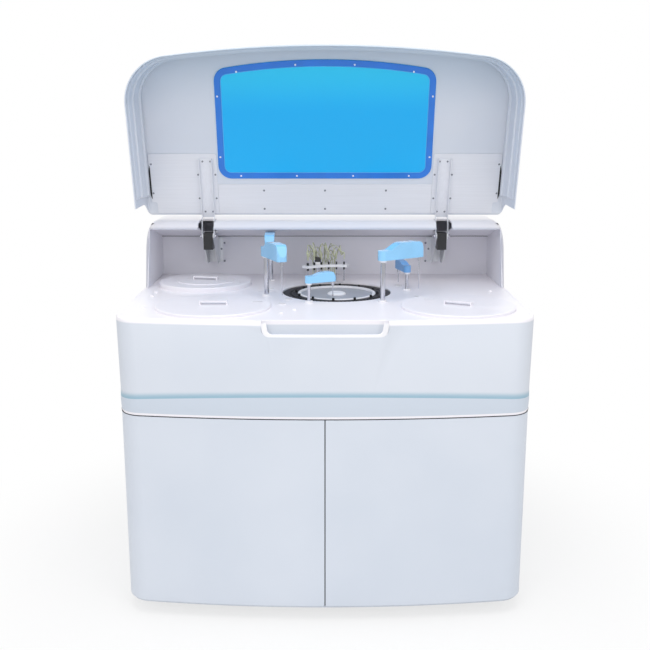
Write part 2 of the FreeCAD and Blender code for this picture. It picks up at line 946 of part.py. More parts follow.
def make_deck():
    """Make the deck with its wells, disc openings and shaft holes."""
    deck = Piece("deck")
    slot_right = reaction_x - s.reaction_ring - s.ring_play - s.deck_slot_margin
    slot_low = s.deck_slot_y - s.deck_slot_width / 2
    deck.pad(deck.sketch("XY", inner_console_plan(Size(0)), level=deck_z - s.deck_plate), s.deck_plate)
    holes = [
        Ring(front_reagent_x, s.front_reagent_y, s.front_cover_radius - s.cover_lap),
        Ring(rear_reagent_x, s.rear_reagent_y, s.rear_cover_radius - s.cover_lap),
        Ring(sample_x, s.sample_y, s.sample_cover_radius - s.cover_lap),
        Ring(reaction_x, s.reaction_y, s.reaction_ring + s.ring_play),
        rounded(
            slot_right - s.deck_slot_length, slot_low, slot_right, slot_low + s.deck_slot_width, s.slot_round
        ),
    ]
    for name, arm in ARMS.items():
        holes.append(Ring(arm["x"], arm["y"], s.bush_radius - s.plate))
        holes.append(Ring(*well_place(name), s.well_radius + s.well_wall))
    deck.pocket(deck.sketch("XY", *holes, level=deck_z), s.deck_plate * 2, both=True)
    caps = []
    for x, y in ((-540, -226), (-548, 28), (-548, -40), (-126, -307), (-90, -255), (539, 48)):
        cap = Piece("cap")
        cap.revolve(cap.sketch("XZ", Loop(
            (0, 0), (s.cap_radius, 0), (s.cap_radius, s.cap_height * 0.5), (s.cap_radius * 0.6, s.cap_height),
            (0, s.cap_height),
        )))
        caps.append(place(cap.body, across(Size(x)), y, deck_z))
    finish(joined("deck_with_caps", deck, *caps), "deck")


def well_place(name):
    """Return where an arm's wash well stands."""
    return tip_of(name, ARMS[name].get("well", 0))


def make_covers():
    """Make the three lift-off disc covers, each with a bail handle and a probe slot."""
    covers = (
        ("reagent_cover_front", front_reagent_x, s.front_reagent_y, s.front_cover_radius,
         s.cover_thickness, "reagent_arm_front", s.handle_front_turn, 0),
        ("reagent_cover_rear", rear_reagent_x, s.rear_reagent_y, s.rear_cover_radius,
         s.rear_cover_thickness, "reagent_arm_rear", s.handle_rear_turn, 1),
        ("sample_cover", sample_x, s.sample_y, s.sample_cover_radius,
         s.cover_thickness, "sample_arm", s.handle_sample_turn, 0),
    )
    for label, x, y, radius, thick, arm, turn, raised in covers:
        cover = Piece(label)
        spigot = radius - s.cover_lap - 1
        rim = s.cover_edge
        cover.revolve(cover.sketch("XZ", Loop(
            (0, 0), (spigot - s.plate, 0), (spigot - s.plate, -s.cover_spigot), (spigot, -s.cover_spigot),
            (spigot, 0), (radius, 0), (radius, thick - rim), (radius - rim, thick), (0, thick),
        )))
        if raised:
            cover.pad(cover.sketch("XY", Ring(0, 0, s.raised_radius), level=thick), s.raised_step)
        top = thick + s.raised_step if raised else thick
        tip_x, tip_y = tip_of(arm, ARMS[arm]["low"])
        slot = rounded(tip_x - x - 17, tip_y - y - 4, tip_x - x + 17, tip_y - y + 4, Size(3.5))
        cover.pocket(cover.sketch("XY", slot, level=0), thick * 4, both=True)
        grip = Piece(f"{label}_grip")
        reach = s.handle_length / 2
        width = s.handle_width / 2
        arch = Loop(
            (-reach, 0), (-reach + s.handle_bar, 0), (-reach + s.handle_bar, s.handle_height - s.handle_bar),
            (reach - s.handle_bar, s.handle_height - s.handle_bar), (reach - s.handle_bar, 0), (reach, 0),
            (reach, s.handle_height), (-reach, s.handle_height),
        )
        grip.pad(grip.sketch("XZ", arch), width * 2, both=True)
        grip.soften(s.handle_bar - 1, all_of(parallel("y"), level_with("z", s.handle_height)))
        place(grip.body, 0, 0, top, turn)
        whole = joined(label, cover, grip)
        finish(place(whole, x, y, deck_z), label)


def make_reaction():
    """Make the reaction carousel: plate with spindle, black cuvette ring, clamps and hub."""
    rim = s.ring_inner - 0.3
    skirt = s.grey_disc_radius
    floor = s.ring_drop + s.ring_depth
    plate = Piece("reaction_plate")
    plate.revolve(plate.sketch("XZ", Loop(
        (0, -s.spindle_depth), (s.spindle_radius, -s.spindle_depth), (s.spindle_radius, -s.plate_drop - s.disc_plate),
        (skirt, -s.plate_drop - s.disc_plate), (skirt, -floor - s.disc_plate),
        (s.cuvette_circle + s.cuvette_length, -floor - s.disc_plate), (s.cuvette_circle + s.cuvette_length, -floor),
        (rim, -floor), (rim, -s.plate_drop + s.plate), (skirt, -s.plate_drop + s.plate),
        (skirt, -s.plate_drop), (0, -s.plate_drop),
    )))
    finish(place(plate.body, reaction_x, s.reaction_y, deck_z), "reaction_plate")

    tip_x, tip_y = tip_of("mixer_front")
    first = math.degrees(math.atan2(number(tip_y - s.reaction_y), number(tip_x - reaction_x)))
    ring = Piece("cuvette_ring")
    ring.revolve(ring.sketch("XZ", Loop(
        (s.ring_inner, -floor), (s.reaction_ring, -floor), (s.reaction_ring, -s.ring_drop),
        (s.ring_inner, -s.ring_drop),
    )))
    low = s.cuvette_circle - s.cuvette_length / 2
    high = s.cuvette_circle + s.cuvette_length / 2
    pocket = rectangle(low, -s.cuvette_width / 2, high, s.cuvette_width / 2)
    ring.pocket(ring.sketch("XY", pocket, level=-s.ring_drop), s.cuvette_depth)
    ring.polar(s.cuvette_count)
    clamp_circle = s.ring_inner + s.clamp_radius + 1
    ring.pad(ring.sketch("XY", Ring(clamp_circle, 0, s.clamp_radius), level=-s.ring_drop), s.clamp_height)
    ring.polar(s.clamp_count)
    finish(place(ring.body, reaction_x, s.reaction_y, deck_z, first), "cuvette_ring")

    hub = Piece("hub")
    hub.revolve(hub.sketch("XZ", Loop(
        (0, -s.plate_drop), (s.hub_radius, -s.plate_drop), (s.hub_radius * 0.8, -s.plate_drop + s.hub_height * 0.4),
        (s.hub_radius * 0.3, -s.plate_drop + s.hub_height), (0, -s.plate_drop + s.hub_height),
    )))
    finish(place(hub.body, reaction_x, s.reaction_y, deck_z), "reaction_hub")

    outer = s.reaction_ring + s.ring_play + s.plate
    bath = Piece("bath")
    drop = floor + s.disc_plate + s.bath_room
    bath.revolve(bath.sketch("XZ", Loop(
        (s.bath_throat, -drop - s.plate), (outer, -drop - s.plate), (outer, -s.deck_plate),
        (outer - s.plate, -s.deck_plate), (outer - s.plate, -drop), (s.bath_throat, -drop),
    )))
    finish(place(bath.body, reaction_x, s.reaction_y, deck_z), "reaction_bath")


def make_discs():
    """Make the two reagent discs and the sample disc, each one turned piece with its spindle."""
    discs = (
        ("reagent_disc_front", front_reagent_x, s.front_reagent_y, s.front_cover_radius, s.bottle_count, 0),
        ("reagent_disc_rear", rear_reagent_x, s.rear_reagent_y, s.rear_cover_radius, s.bottle_count, 0),
        ("sample_disc", sample_x, s.sample_y, s.sample_cover_radius, s.tube_count, 1),
    )
    for label, x, y, radius, count, round_pockets in discs:
        disc = Piece(label)
        reach = radius - s.cover_lap - s.disc_play
        low = -s.disc_drop - s.disc_thickness
        disc.revolve(disc.sketch("XZ", Loop(
            (0, -s.spindle_depth), (s.spindle_radius, -s.spindle_depth), (s.spindle_radius, low), (reach, low),
            (reach, -s.disc_drop), (s.spindle_radius * 1.6, -s.disc_drop),
            (s.spindle_radius * 1.2, -s.disc_drop + s.disc_knob), (0, -s.disc_drop + s.disc_knob),
        )))
        circle = reach - s.bottle_length / 2 - s.plate * 1.5
        if round_pockets:
            seat = Ring(circle, 0, s.tube_radius)
        else:
            seat = rectangle(
                circle - s.bottle_length / 2, -s.bottle_radius, circle + s.bottle_length / 2, s.bottle_radius
            )
        disc.pocket(disc.sketch("XY", seat, level=-s.disc_drop), s.disc_thickness - s.plate)
        disc.polar(count)
        finish(place(disc.body, x, y, deck_z), label)


def make_bearings():
    """Make the four bearing housings that carry the discs."""
    housings = []
    for x, y in (
        (front_reagent_x, s.front_reagent_y), (rear_reagent_x, s.rear_reagent_y),
        (sample_x, s.sample_y), (reaction_x, s.reaction_y),
    ):
        housing = Piece("bearing")
        foot = s.plate - s.console_height
        bore = s.spindle_radius + s.running_fit
        housing.revolve(housing.sketch("XZ", Loop(
            (bore, foot), (s.bearing_radius * 1.7, foot), (s.bearing_radius * 1.7, foot + s.plate),
            (s.bearing_radius, foot + s.plate * 2), (s.bearing_radius, -s.bearing_top), (bore, -s.bearing_top),
        )))
        housings.append(place(housing.body, x, y, deck_z))
    finish(group("bearings", *housings), "disc_bearings")


def head_shape(name, reach, floor, back, crown, width):
    """Return an arm cover: an arched side view cut to a plan with round ends."""
    half = width / 2
    nose = reach + half * 0.8
    side = Piece(f"{name}_side")
    side.pad(side.sketch("XZ", Loop(
        (-half, floor),
        (nose - half * 0.3, floor + 1),
        (nose, floor + (crown - floor) * 0.3),
        (nose - half * 0.9, crown - (crown - floor) * 0.08, (crown - floor) * 0.8),
        (nose - half * 3, crown, width * 3),
        (half * 1.8, back + (crown - back) * 0.3, -width * 5),
        (half, back),
        (-half, back),
    )), width * 1.2, both=True)
    plan = Piece(f"{name}_plan")
    plan.pad(
        plan.sketch("XY", rounded(-half, -half, nose, half, half * 0.96), level=floor - 1), crown - floor + 2
    )
    return common(f"{name}_head", side, plan)


def make_arms():
    """Make the five arms: carriage, shaft, cover and probe or paddle."""
    rails = []
    bushes = []
    wells = []
    for name, arm in ARMS.items():
        mixer = arm["mixer"]
        radius = s.mixer_shaft_radius if mixer else s.shaft_radius
        floor = s.mixer_floor if mixer else s.head_floor
        crown = s.mixer_crown if mixer else s.head_crown
        back = s.mixer_back if mixer else s.head_back
        width = s.mixer_width if mixer else s.head_width
        tip = s.mixer_tip if mixer else s.probe_tip
        x, y, reach, points = arm["x"], arm["y"], arm["reach"], arm["points"]

        head = head_shape(name, reach, floor, back, crown, width)
        finish(place(head, x, y, deck_z, points), f"{name}_head")

        tail = -(s.carriage_top + s.carriage_height + s.shaft_tail)
        shaft = Piece(f"{name}_shaft")
        shaft.revolve(shaft.sketch("XZ", Loop(
            (0, tail), (radius, tail), (radius, -s.carriage_top), (radius + s.plate, -s.carriage_top),
            (radius + s.plate, -s.carriage_top + s.plate), (radius, -s.carriage_top + s.plate),
            (radius, floor), (0, floor),
        )))
        probe = Piece(f"{name}_probe")
        collar = floor - s.collar_height
        probe.revolve(probe.sketch("XZ", Loop(
            (0, tip), (s.probe_radius, tip + s.probe_radius), (s.probe_radius, collar),
            (s.collar_radius, collar), (s.collar_radius, floor), (0, floor),
        )))
        place(probe.body, reach, 0, 0)
        steel = group(f"{name}_steel", shaft, probe)
        finish(place(steel, x, y, deck_z, points), f"{name}_shaft_and_tip")

        play = s.rail_side / 2 + s.rail_play
        half = s.carriage_width / 2
        carriage = Piece(f"{name}_carriage")
        end = s.rail_offset + play + s.plate
        carriage.pad(carriage.sketch(
            "XY",
            rectangle(-half, -half, end, half),
            Ring(0, 0, radius + s.running_fit),
            rectangle(s.rail_offset - play, -play, s.rail_offset + play, play),
            level=-s.carriage_top - s.carriage_height,
        ), s.carriage_height)
        finish(place(carriage.body, x, y, deck_z, arm["rail"]), f"{name}_carriage")

        side = s.rail_side / 2
        rail = Piece(f"{name}_rail")
        rail.pad(rail.sketch(
            "XY", rectangle(s.rail_offset - side, -side, s.rail_offset + side, side),
            level=s.plate - s.console_height,
        ), s.console_height - s.plate - s.deck_plate)
        rails.append(place(rail.body, x, y, deck_z, arm["rail"]))

        bush = Piece(f"{name}_bush")
        neck = s.bush_radius - s.plate
        bush.revolve(bush.sketch("XZ", Loop(
            (radius + s.running_fit, -s.deck_plate), (neck, -s.deck_plate), (neck, 0), (s.bush_radius, 0),
            (s.bush_radius, s.bush_height - 1), (s.bush_radius - 1, s.bush_height),
            (radius + s.running_fit, s.bush_height),
        )))
        bushes.append(place(bush.body, x, y, deck_z))

        well = Piece(f"{name}_well")
        outer = s.well_radius + s.well_wall
        well.revolve(well.sketch("XZ", Loop(
            (0, -s.well_depth - s.well_wall), (outer, -s.well_depth - s.well_wall), (outer, 0),
            (outer + s.well_wall, 0), (outer + s.well_wall, s.well_wall), (s.well_radius, s.well_wall),
            (s.well_radius, -s.well_depth), (0, -s.well_depth),
        )))
        wells.append(place(well.body, *well_place(name), deck_z))
    finish(group("rails", *rails), "lift_rails")
    finish(group("bushes", *bushes), "shaft_bushes")
    finish(group("wells", *wells), "wash_wells")


def make_wash_station():
    """Make the cuvette wash station: post, head, nozzles and tubing."""
    foot = Piece("wash_post")
    foot.revolve(foot.sketch("XZ", Loop(
        (0, 0), (s.bush_radius, 0), (s.bush_radius, s.bush_height), (s.wash_post_radius, s.bush_height),
        (s.wash_post_radius, s.wash_post_height), (0, s.wash_post_height),
    )))
    place(foot.body, wash_post_x, s.wash_post_y, deck_z)

    tip_x, tip_y = tip_of("mixer_front")
    first = math.degrees(math.atan2(number(tip_y - s.reaction_y), number(tip_x - reaction_x)))
    pitch = 360 / SIZES["cuvette_count"]
    start = first - pitch * math.floor((first - SIZES["wash_first_angle"]) / pitch)
    angles = [start + 2 * pitch * index for index in range(SIZES["nozzle_pairs"])]

    inner = s.cuvette_circle - s.wash_band
    outer = s.cuvette_circle + s.wash_band
    low_x, low_y = polar_point(0, 0, inner, angles[0] - pitch)
    far_x, far_y = polar_point(0, 0, outer, angles[0] - pitch)
    end_x, end_y = polar_point(0, 0, outer, angles[-1] + pitch)
    back_x, back_y = polar_point(0, 0, inner, angles[-1] + pitch)
    plate = Piece("wash_plate")
    plate.pad(plate.sketch(
        "XY",
        Loop((low_x, low_y), (far_x, far_y, outer), (end_x, end_y), (back_x, back_y, -inner)),
        level=s.wash_floor,
    ), s.wash_plate)
    post_x = wash_post_x - reaction_x
    post_y = s.wash_post_y - s.reaction_y
    clamp = Piece("wash_clamp")
    reach = s.wash_post_radius * 2
    clamp.pad(clamp.sketch(
        "XY", rounded(post_x - reach, post_y - s.clamp_reach, post_x + reach, post_y + reach, s.wash_post_radius),
        level=s.wash_floor,
    ), s.wash_plate * 2)
    bore = rod("wash_bore", s.wash_post_radius + s.running_fit, post_x, post_y, s.wash_floor - 1, s.wash_post_height)
    holes = []
    nozzles = []
    tubes = []
    for angle in angles:
        for side in (-1, 1):
            radius = s.cuvette_circle + side * s.nozzle_spread
            nozzle_x, nozzle_y = polar_point(0, 0, radius, angle)
            holes.append(rod("hole", s.nozzle_radius, nozzle_x, nozzle_y, s.wash_floor - 1, s.nozzle_top))
            nozzles.append(rod("nozzle", s.nozzle_radius, nozzle_x, nozzle_y, s.nozzle_tip, s.nozzle_top))
    head = carved("wash_head", joined("wash_head_solid", plate, clamp), bore, *holes)
    finish(place(head, reaction_x, s.reaction_y, deck_z), "wash_head")
    finish(place(group("nozzles", *nozzles), reaction_x, s.reaction_y, deck_z), "wash_nozzles")

    for index, angle in enumerate(angles[1::2]):
        start_x, start_y = polar_point(reaction_x, s.reaction_y, s.cuvette_circle + s.nozzle_spread, angle)
        tubes.append(tube_solid(f"tube_{index}", (
            Vector(number(start_x), number(start_y), number(deck_z + s.nozzle_top)),
            Vector(number(start_x), number(start_y), number(deck_z + s.nozzle_top) + 34),
            Vector(number(start_x) + 2, number(start_y) + 30, number(deck_z + s.tubing_crown)),
            Vector(number(start_x) * 0.8, number(start_y) + 62, number(deck_z + s.tubing_crown) - 8),
            Vector(number(start_x) * 0.6, number(s.tubing_rear_y), number(deck_z) + 70),
            Vector(number(start_x) * 0.6, number(s.tubing_rear_y), number(deck_z) + s.bush_height.number),
        )))
    finish(group("tubes", *tubes), "wash_tubing")
    ends = []
    for index, angle in enumerate(angles[1::2]):
        start_x, start_y = polar_point(reaction_x, s.reaction_y, s.cuvette_circle + s.nozzle_spread, angle)
        ends.append(rod("socket", s.tubing_radius * 3, start_x * 0.6, s.tubing_rear_y, deck_z, deck_z + s.bush_height))
    finish(group("wash_base", foot, *ends), "wash_post_and_sockets")


def tube_solid(name, points):
    """Return a tube along straight runs joined by tangent arcs."""
    edges = []
    last = points[0]
    for before, point, after in zip(points, points[1:], points[2:]):
        inward = (before - point).normalize()
        onward = (after - point).normalize()
        turn = math.pi - inward.getAngle(onward)
        run = min((before - point).Length, (after - point).Length)
        cut = 0.45 * run
        radius = cut / math.tan(turn / 2)
        start = point + inward * cut
        end = point + onward * cut
        centre = point + (inward + onward).normalize() * math.hypot(radius, cut)
        middle = centre + (point - centre).normalize() * radius
        edges.append(Part.LineSegment(last, start).toShape())
        edges.append(Part.Arc(start, middle, end).toShape())
        last = end
    edges.append(Part.LineSegment(last, points[-1]).toShape())
    path = Part.Wire(edges)
    circle = Part.Wire([Part.makeCircle(SIZES["tubing_radius"], points[0], points[1] - points[0])])
    tube = document.addObject("Part::Feature", name)
    tube.Shape = path.makePipeShell([circle], True, True, 2)
    return tube


# Hood

def hood_nose():
    """Return the radius and centre of the curve between the hood's sloping edge and its top."""
    run = s.hood_knee_y - s.hood_foot_y
    slope = (run * run + s.hood_knee_z * s.hood_knee_z).root()
    radius = (s.hood_height - s.hood_knee_z) / (1 - run / slope)
    return radius, s.hood_knee_y + radius * s.hood_knee_z / slope, s.hood_height - radius


def make_hood():
    """Make the hood shell: an arched profile with a lip, notched for the lid hinges."""
    radius, centre_y, centre_z = hood_nose()
    outer = Piece("hood_outer")
    outer.pad(outer.sketch("YZ", Loop(
        (s.hood_foot_y, deck_z),
        (rear_y, deck_z),
        (rear_y, deck_z + s.hood_height),
        (centre_y, deck_z + s.hood_height, radius),
        (s.hood_knee_y, deck_z + s.hood_knee_z),
    )), s.overall_width, both=True)
    tops = (level_with("x", half_width), level_with("x", -half_width))
    outer.soften(s.hood_edge_round, lambda edge: (
        (tops[0](edge) or tops[1](edge)) and edge.BoundBox.ZMax > number(deck_z + s.hood_knee_z) + 1
        and edge.BoundBox.YLength > 1
    ))
    hollow = Piece("hood_hollow")
    skin_y = rear_y - s.hood_skin
    inside = s.overall_width - s.hood_side * 2
    hollow.pad(hollow.sketch("YZ", Loop(
        (s.hood_foot_y - 50, deck_z - 1),
        (skin_y, deck_z - 1),
        (skin_y, deck_z + s.hood_height - s.hood_skin - s.liner),
        (s.ceiling_front_y, deck_z + s.hood_height - s.hood_skin - s.liner),
        (s.ceiling_front_y, deck_z + s.hood_height - s.lip_depth),
        (s.hood_foot_y - 50, deck_z + s.hood_height - s.lip_depth),
    )), inside, both=True)
    finish(carved("hood", outer, hollow, *hinge_notches("hood")), "hood_shell")


def hinge_notches(name):
    """Return the two boxes that the lid's arms pass through."""
    notches = []
    for side in (-1, 1):
        middle = side * s.hinge_x
        notches.append(block(
            f"{name}_notch",
            (middle - s.notch_width / 2, s.hood_foot_y, deck_z + s.notch_floor),
            (middle + s.notch_width / 2, s.notch_rear_y, deck_z + s.hood_height + 1),
        ))
    return notches


def make_liner():
    """Make the hood's lining: side cheeks, sloping ceiling and back wall in one bent sheet."""
    cheek = half_width - s.hood_side
    thick = s.liner
    front = s.ceiling_front_y
    top = deck_z + s.hood_height - s.lip_depth
    sheet_body = Piece("liner_outer")
    sheet_body.pad(sheet_body.sketch("YZ", Loop(
        (s.hood_foot_y + thick, deck_z),
        (s.back_wall_y + thick, deck_z),
        (s.back_wall_y + thick, deck_z + s.ceiling_rear_z + thick),
        (front, top + thick),
        (front, top),
        (s.liner_knee_y, top),
    )), cheek * 2, both=True)
    space = Piece("liner_space")
    space.pad(space.sketch("YZ", Loop(
        (s.hood_foot_y - 50, deck_z - 1),
        (s.back_wall_y, deck_z - 1),
        (s.back_wall_y, deck_z + s.ceiling_rear_z),
        (front, top),
        (s.hood_foot_y - 50, top),
    )), (cheek - thick) * 2, both=True)
    finish(carved("liner", sheet_body, space, *hinge_notches("liner")), "hood_liner")


# Lid, drawn closed with its origin on the hinge line and then swung open

def lid_y(y):
    """Return a closed lid's Y from the hinge line."""
    return y - s.hinge_y


def lid_z(z):
    """Return a closed lid's height above the deck from the hinge line."""
    return z - s.hinge_z


def open_lid(thing):
    """Swing a piece of the lid from closed to its open rest."""
    return place(thing, 0, s.hinge_y, deck_z + s.hinge_z, s.lid_opening, (-1, 0, 0))


LID_EDGE_TURNS = 3
lid_half = half_width + s.lid_overhang
side_plate_outer = lid_half - s.lid_edge_round - s.side_plate_margin
lid_skin = s.lid_top - s.lid_wall
sheet_floor = lid_skin - s.window_sheet
plate_floor = lid_skin - s.stiffener
channel_web = plate_floor - s.arm_sheet


def lid_solid(name, inset, low):
    """Return the lid's full form, drawn in by an inset, with a leaning front.

    Its top edge is rounded by a ruled loft through plans at equal turns of a quarter circle.
    """
    solid = Piece(name)
    rim = lid_z(s.lid_rim_gap)
    lean = s.lid_lean / (lid_z(s.lid_top) - rim)
    bend = s.lid_edge_round - inset
    shoulder = lid_z(s.lid_top) - s.lid_edge_round
    levels = [(low, Size(0))]
    for step in range(LID_EDGE_TURNS + 1):
        angle = Size(90) * step / LID_EDGE_TURNS
        levels.append((shoulder + bend * angle.sine(), bend * (1 - angle.cosine())))
    sections = []
    for level, draw in levels:
        front = lid_y(-s.lid_front) + inset + draw + (level - rim) * lean
        edge = inset + draw
        plan = bowed_plan(lid_half - edge, front, s.lid_tail, s.bow_radius - edge, s.lid_corner - edge)
        sections.append(solid.sketch("XY", plan, level=level))
    solid.feature("AdditiveLoft", Profile=sections[0], Sections=sections[1:], Ruled=True)
    return solid


def window_plan(inset):
    """Return the window's outline: straight sides and back, arched front, round corners."""
    half = s.window_width / 2 - inset
    front = lid_y(-s.window_front) + inset
    rear = lid_y(s.window_rear) - inset
    corner = s.window_corner - inset
    touch_x, touch_y, side_y = corner_line(half, front, s.window_arch - inset, corner)
    return Loop(
        (-touch_x, touch_y, s.window_arch - inset),
        (touch_x, touch_y, corner),
        (half, side_y),
        (half, rear - corner, corner),
        (half - corner, rear),
        (-half + corner, rear, corner),
        (-half, rear - corner),
        (-half, side_y, corner),
    )


def make_lid_shell():
    """Make the lid shell: a deep bowed tray whose back edges follow the hood."""
    radius, centre_y, centre_z = hood_nose()
    reach = radius + s.lid_gap
    rim = lid_z(s.lid_rim_gap)
    run = s.hood_knee_y - s.hood_foot_y
    slope = (run * run + s.hood_knee_z * s.hood_knee_z).root()
    off_y = s.lid_gap * s.hood_knee_z / slope
    off_z = s.lid_gap * run / slope
    knee_y = lid_y(s.hood_knee_y) - off_y
    knee_z = lid_z(s.hood_knee_z) + off_z
    foot_y = knee_y - (knee_z - rim) * run / s.hood_knee_z
    rise = s.lid_top - centre_z
    top_y = lid_y(centre_y) - (reach * reach - rise * rise).root()
    rear_cut = Piece("lid_rear_cut")
    rear_cut.pad(rear_cut.sketch("YZ", Loop(
        (foot_y, rim),
        (knee_y, knee_z, -reach),
        (top_y, lid_z(s.lid_top)),
        (top_y, lid_z(s.lid_top) + 10),
        (s.lid_tail + 10, lid_z(s.lid_top) + 10),
        (s.lid_tail + 10, rim - 10),
        (foot_y, rim - 10),
    )), lid_half * 2 + 20, both=True)
    window = Piece("lid_cutout")
    window.pad(window.sketch("XY", window_plan(s.window_border), level=lid_z(s.lid_top) - 10), 20)
    outer = lid_solid("lid_outer", Size(0), rim)
    inner = lid_solid("lid_inner", s.lid_wall, rim - 10)
    finish(open_lid(carved("lid", outer, inner, rear_cut, window)), "lid_shell")


def make_window():
    """Make the tinted window sheet, laid under its cut-out."""
    window = Piece("window")
    window.pad(window.sketch("XY", window_plan(Size(0)), level=lid_z(sheet_floor)), s.window_sheet)
    finish(open_lid(window.body), "lid_window")


def make_stiffeners():
    """Make the lid's cross strip and its two side plates."""
    strip = Piece("strip")
    half = s.strip_width / 2
    strip.pad(strip.sketch(
        "XY", rectangle(-half, lid_y(s.strip_front), half, lid_y(s.strip_rear)), level=lid_z(plate_floor)
    ), s.stiffener)
    plates = [strip]
    for side in (-1, 1):
        plate = Piece("side_plate")
        outline = [
            (side * (half + s.bracket_play), lid_y(-s.side_plate_front)),
            (side * side_plate_outer, lid_y(-s.side_plate_front)),
            (side * side_plate_outer, lid_y(s.side_plate_rear - s.side_plate_step)),
            (side * (side_plate_outer - s.side_plate_step / 2), lid_y(s.side_plate_rear - s.side_plate_step)),
            (side * (side_plate_outer - s.side_plate_step / 2), lid_y(s.side_plate_rear)),
            (side * (half + s.bracket_play), lid_y(s.side_plate_rear)),
        ]
        plate.pad(plate.sketch("XY", Loop(*outline), level=lid_z(plate_floor)), s.stiffener)
        plate.soften(s.plate * 2, all_of(parallel("z"), lambda edge: edge.BoundBox.YMax < number(
            lid_y(s.side_plate_rear - s.side_plate_step)) + 1))
        plates.append(plate)
    finish(open_lid(group("stiffeners", *plates)), "lid_stiffeners")


def make_lid_arms():
    """Make the two folded channels that carry the lid on its hinges."""
    arms = []
    for side in (-1, 1):
        channel = Piece("lid_arm")
        web = lid_z(channel_web)
        ear = s.ear_radius
        outline = Loop(
            (lid_y(-s.arm_front), lid_z(plate_floor)),
            (lid_y(-s.arm_front), web - s.arm_flange),
            (lid_y(s.side_plate_rear), web - s.arm_flange),
            (-ear * 0.8, -ear * 0.6, ear),
            (ear * 0.6, ear * 0.8),
            (lid_y(s.strip_rear) + s.arm_tail, lid_z(plate_floor)),
        )
        channel.pad(channel.sketch("YZ", outline, level=side * s.hinge_x), s.arm_channel, both=True)
        hollow = rectangle(lid_y(-s.arm_front) - 1, -ear * 2, ear * 2, web)
        channel.pocket(
            channel.sketch("YZ", hollow, level=side * s.hinge_x), s.arm_channel - s.arm_sheet * 2, both=True
        )
        bore = Ring(0, 0, s.hinge_pin_radius + s.pin_clearance)
        channel.pocket(channel.sketch("YZ", bore, level=side * s.hinge_x), s.arm_channel * 2, both=True)
        arms.append(channel)
    finish(open_lid(group("arms", *arms)), "lid_arms")


def screw_row(name, radius, places, top):
    """Return screw heads that hang under a face of the lid."""
    heads = []
    for x, y in places:
        head = Piece(name)
        head.revolve(head.sketch("XZ", Loop(
            (0, -s.screw_head), (radius * 0.6, -s.screw_head), (radius, -s.screw_head * 0.4), (radius, 0), (0, 0),
        )))
        heads.append(place(head.body, x, lid_y(y), lid_z(top)))
    return heads


def make_lid_screws():
    """Make the screw heads round the window, along the strip and on the arms."""
    heads = []
    half = s.window_width / 2
    edge = s.window_border * 0.42
    rear = s.window_rear - edge * 1.2
    front = s.window_front - edge
    places = []
    for side in (-1, 1):
        places.append((side * half * 0.265, -(front - 8)))
        places.append((side * half * 0.795, -(front - 30)))
        places.append((side * (half - edge), -(s.window_front * 0.65)))
        places.append((side * (half - edge), -(s.window_front * 0.045)))
        places.append((side * half * 0.79, rear))
        places.append((side * half * 0.265, rear))
    heads += screw_row("window_screw", s.screw_radius, places, sheet_floor)
    strip = []
    for x in (-s.strip_screw_x, Size(0), s.strip_screw_x):
        for y in (s.strip_front + 22, s.strip_rear - 16):
            strip.append((x, y))
    heads += screw_row("strip_screw", s.screw_radius, strip, plate_floor)
    finish(open_lid(group("lid_screws", *heads)), "lid_screws")


# Hinges on the hood's back wall

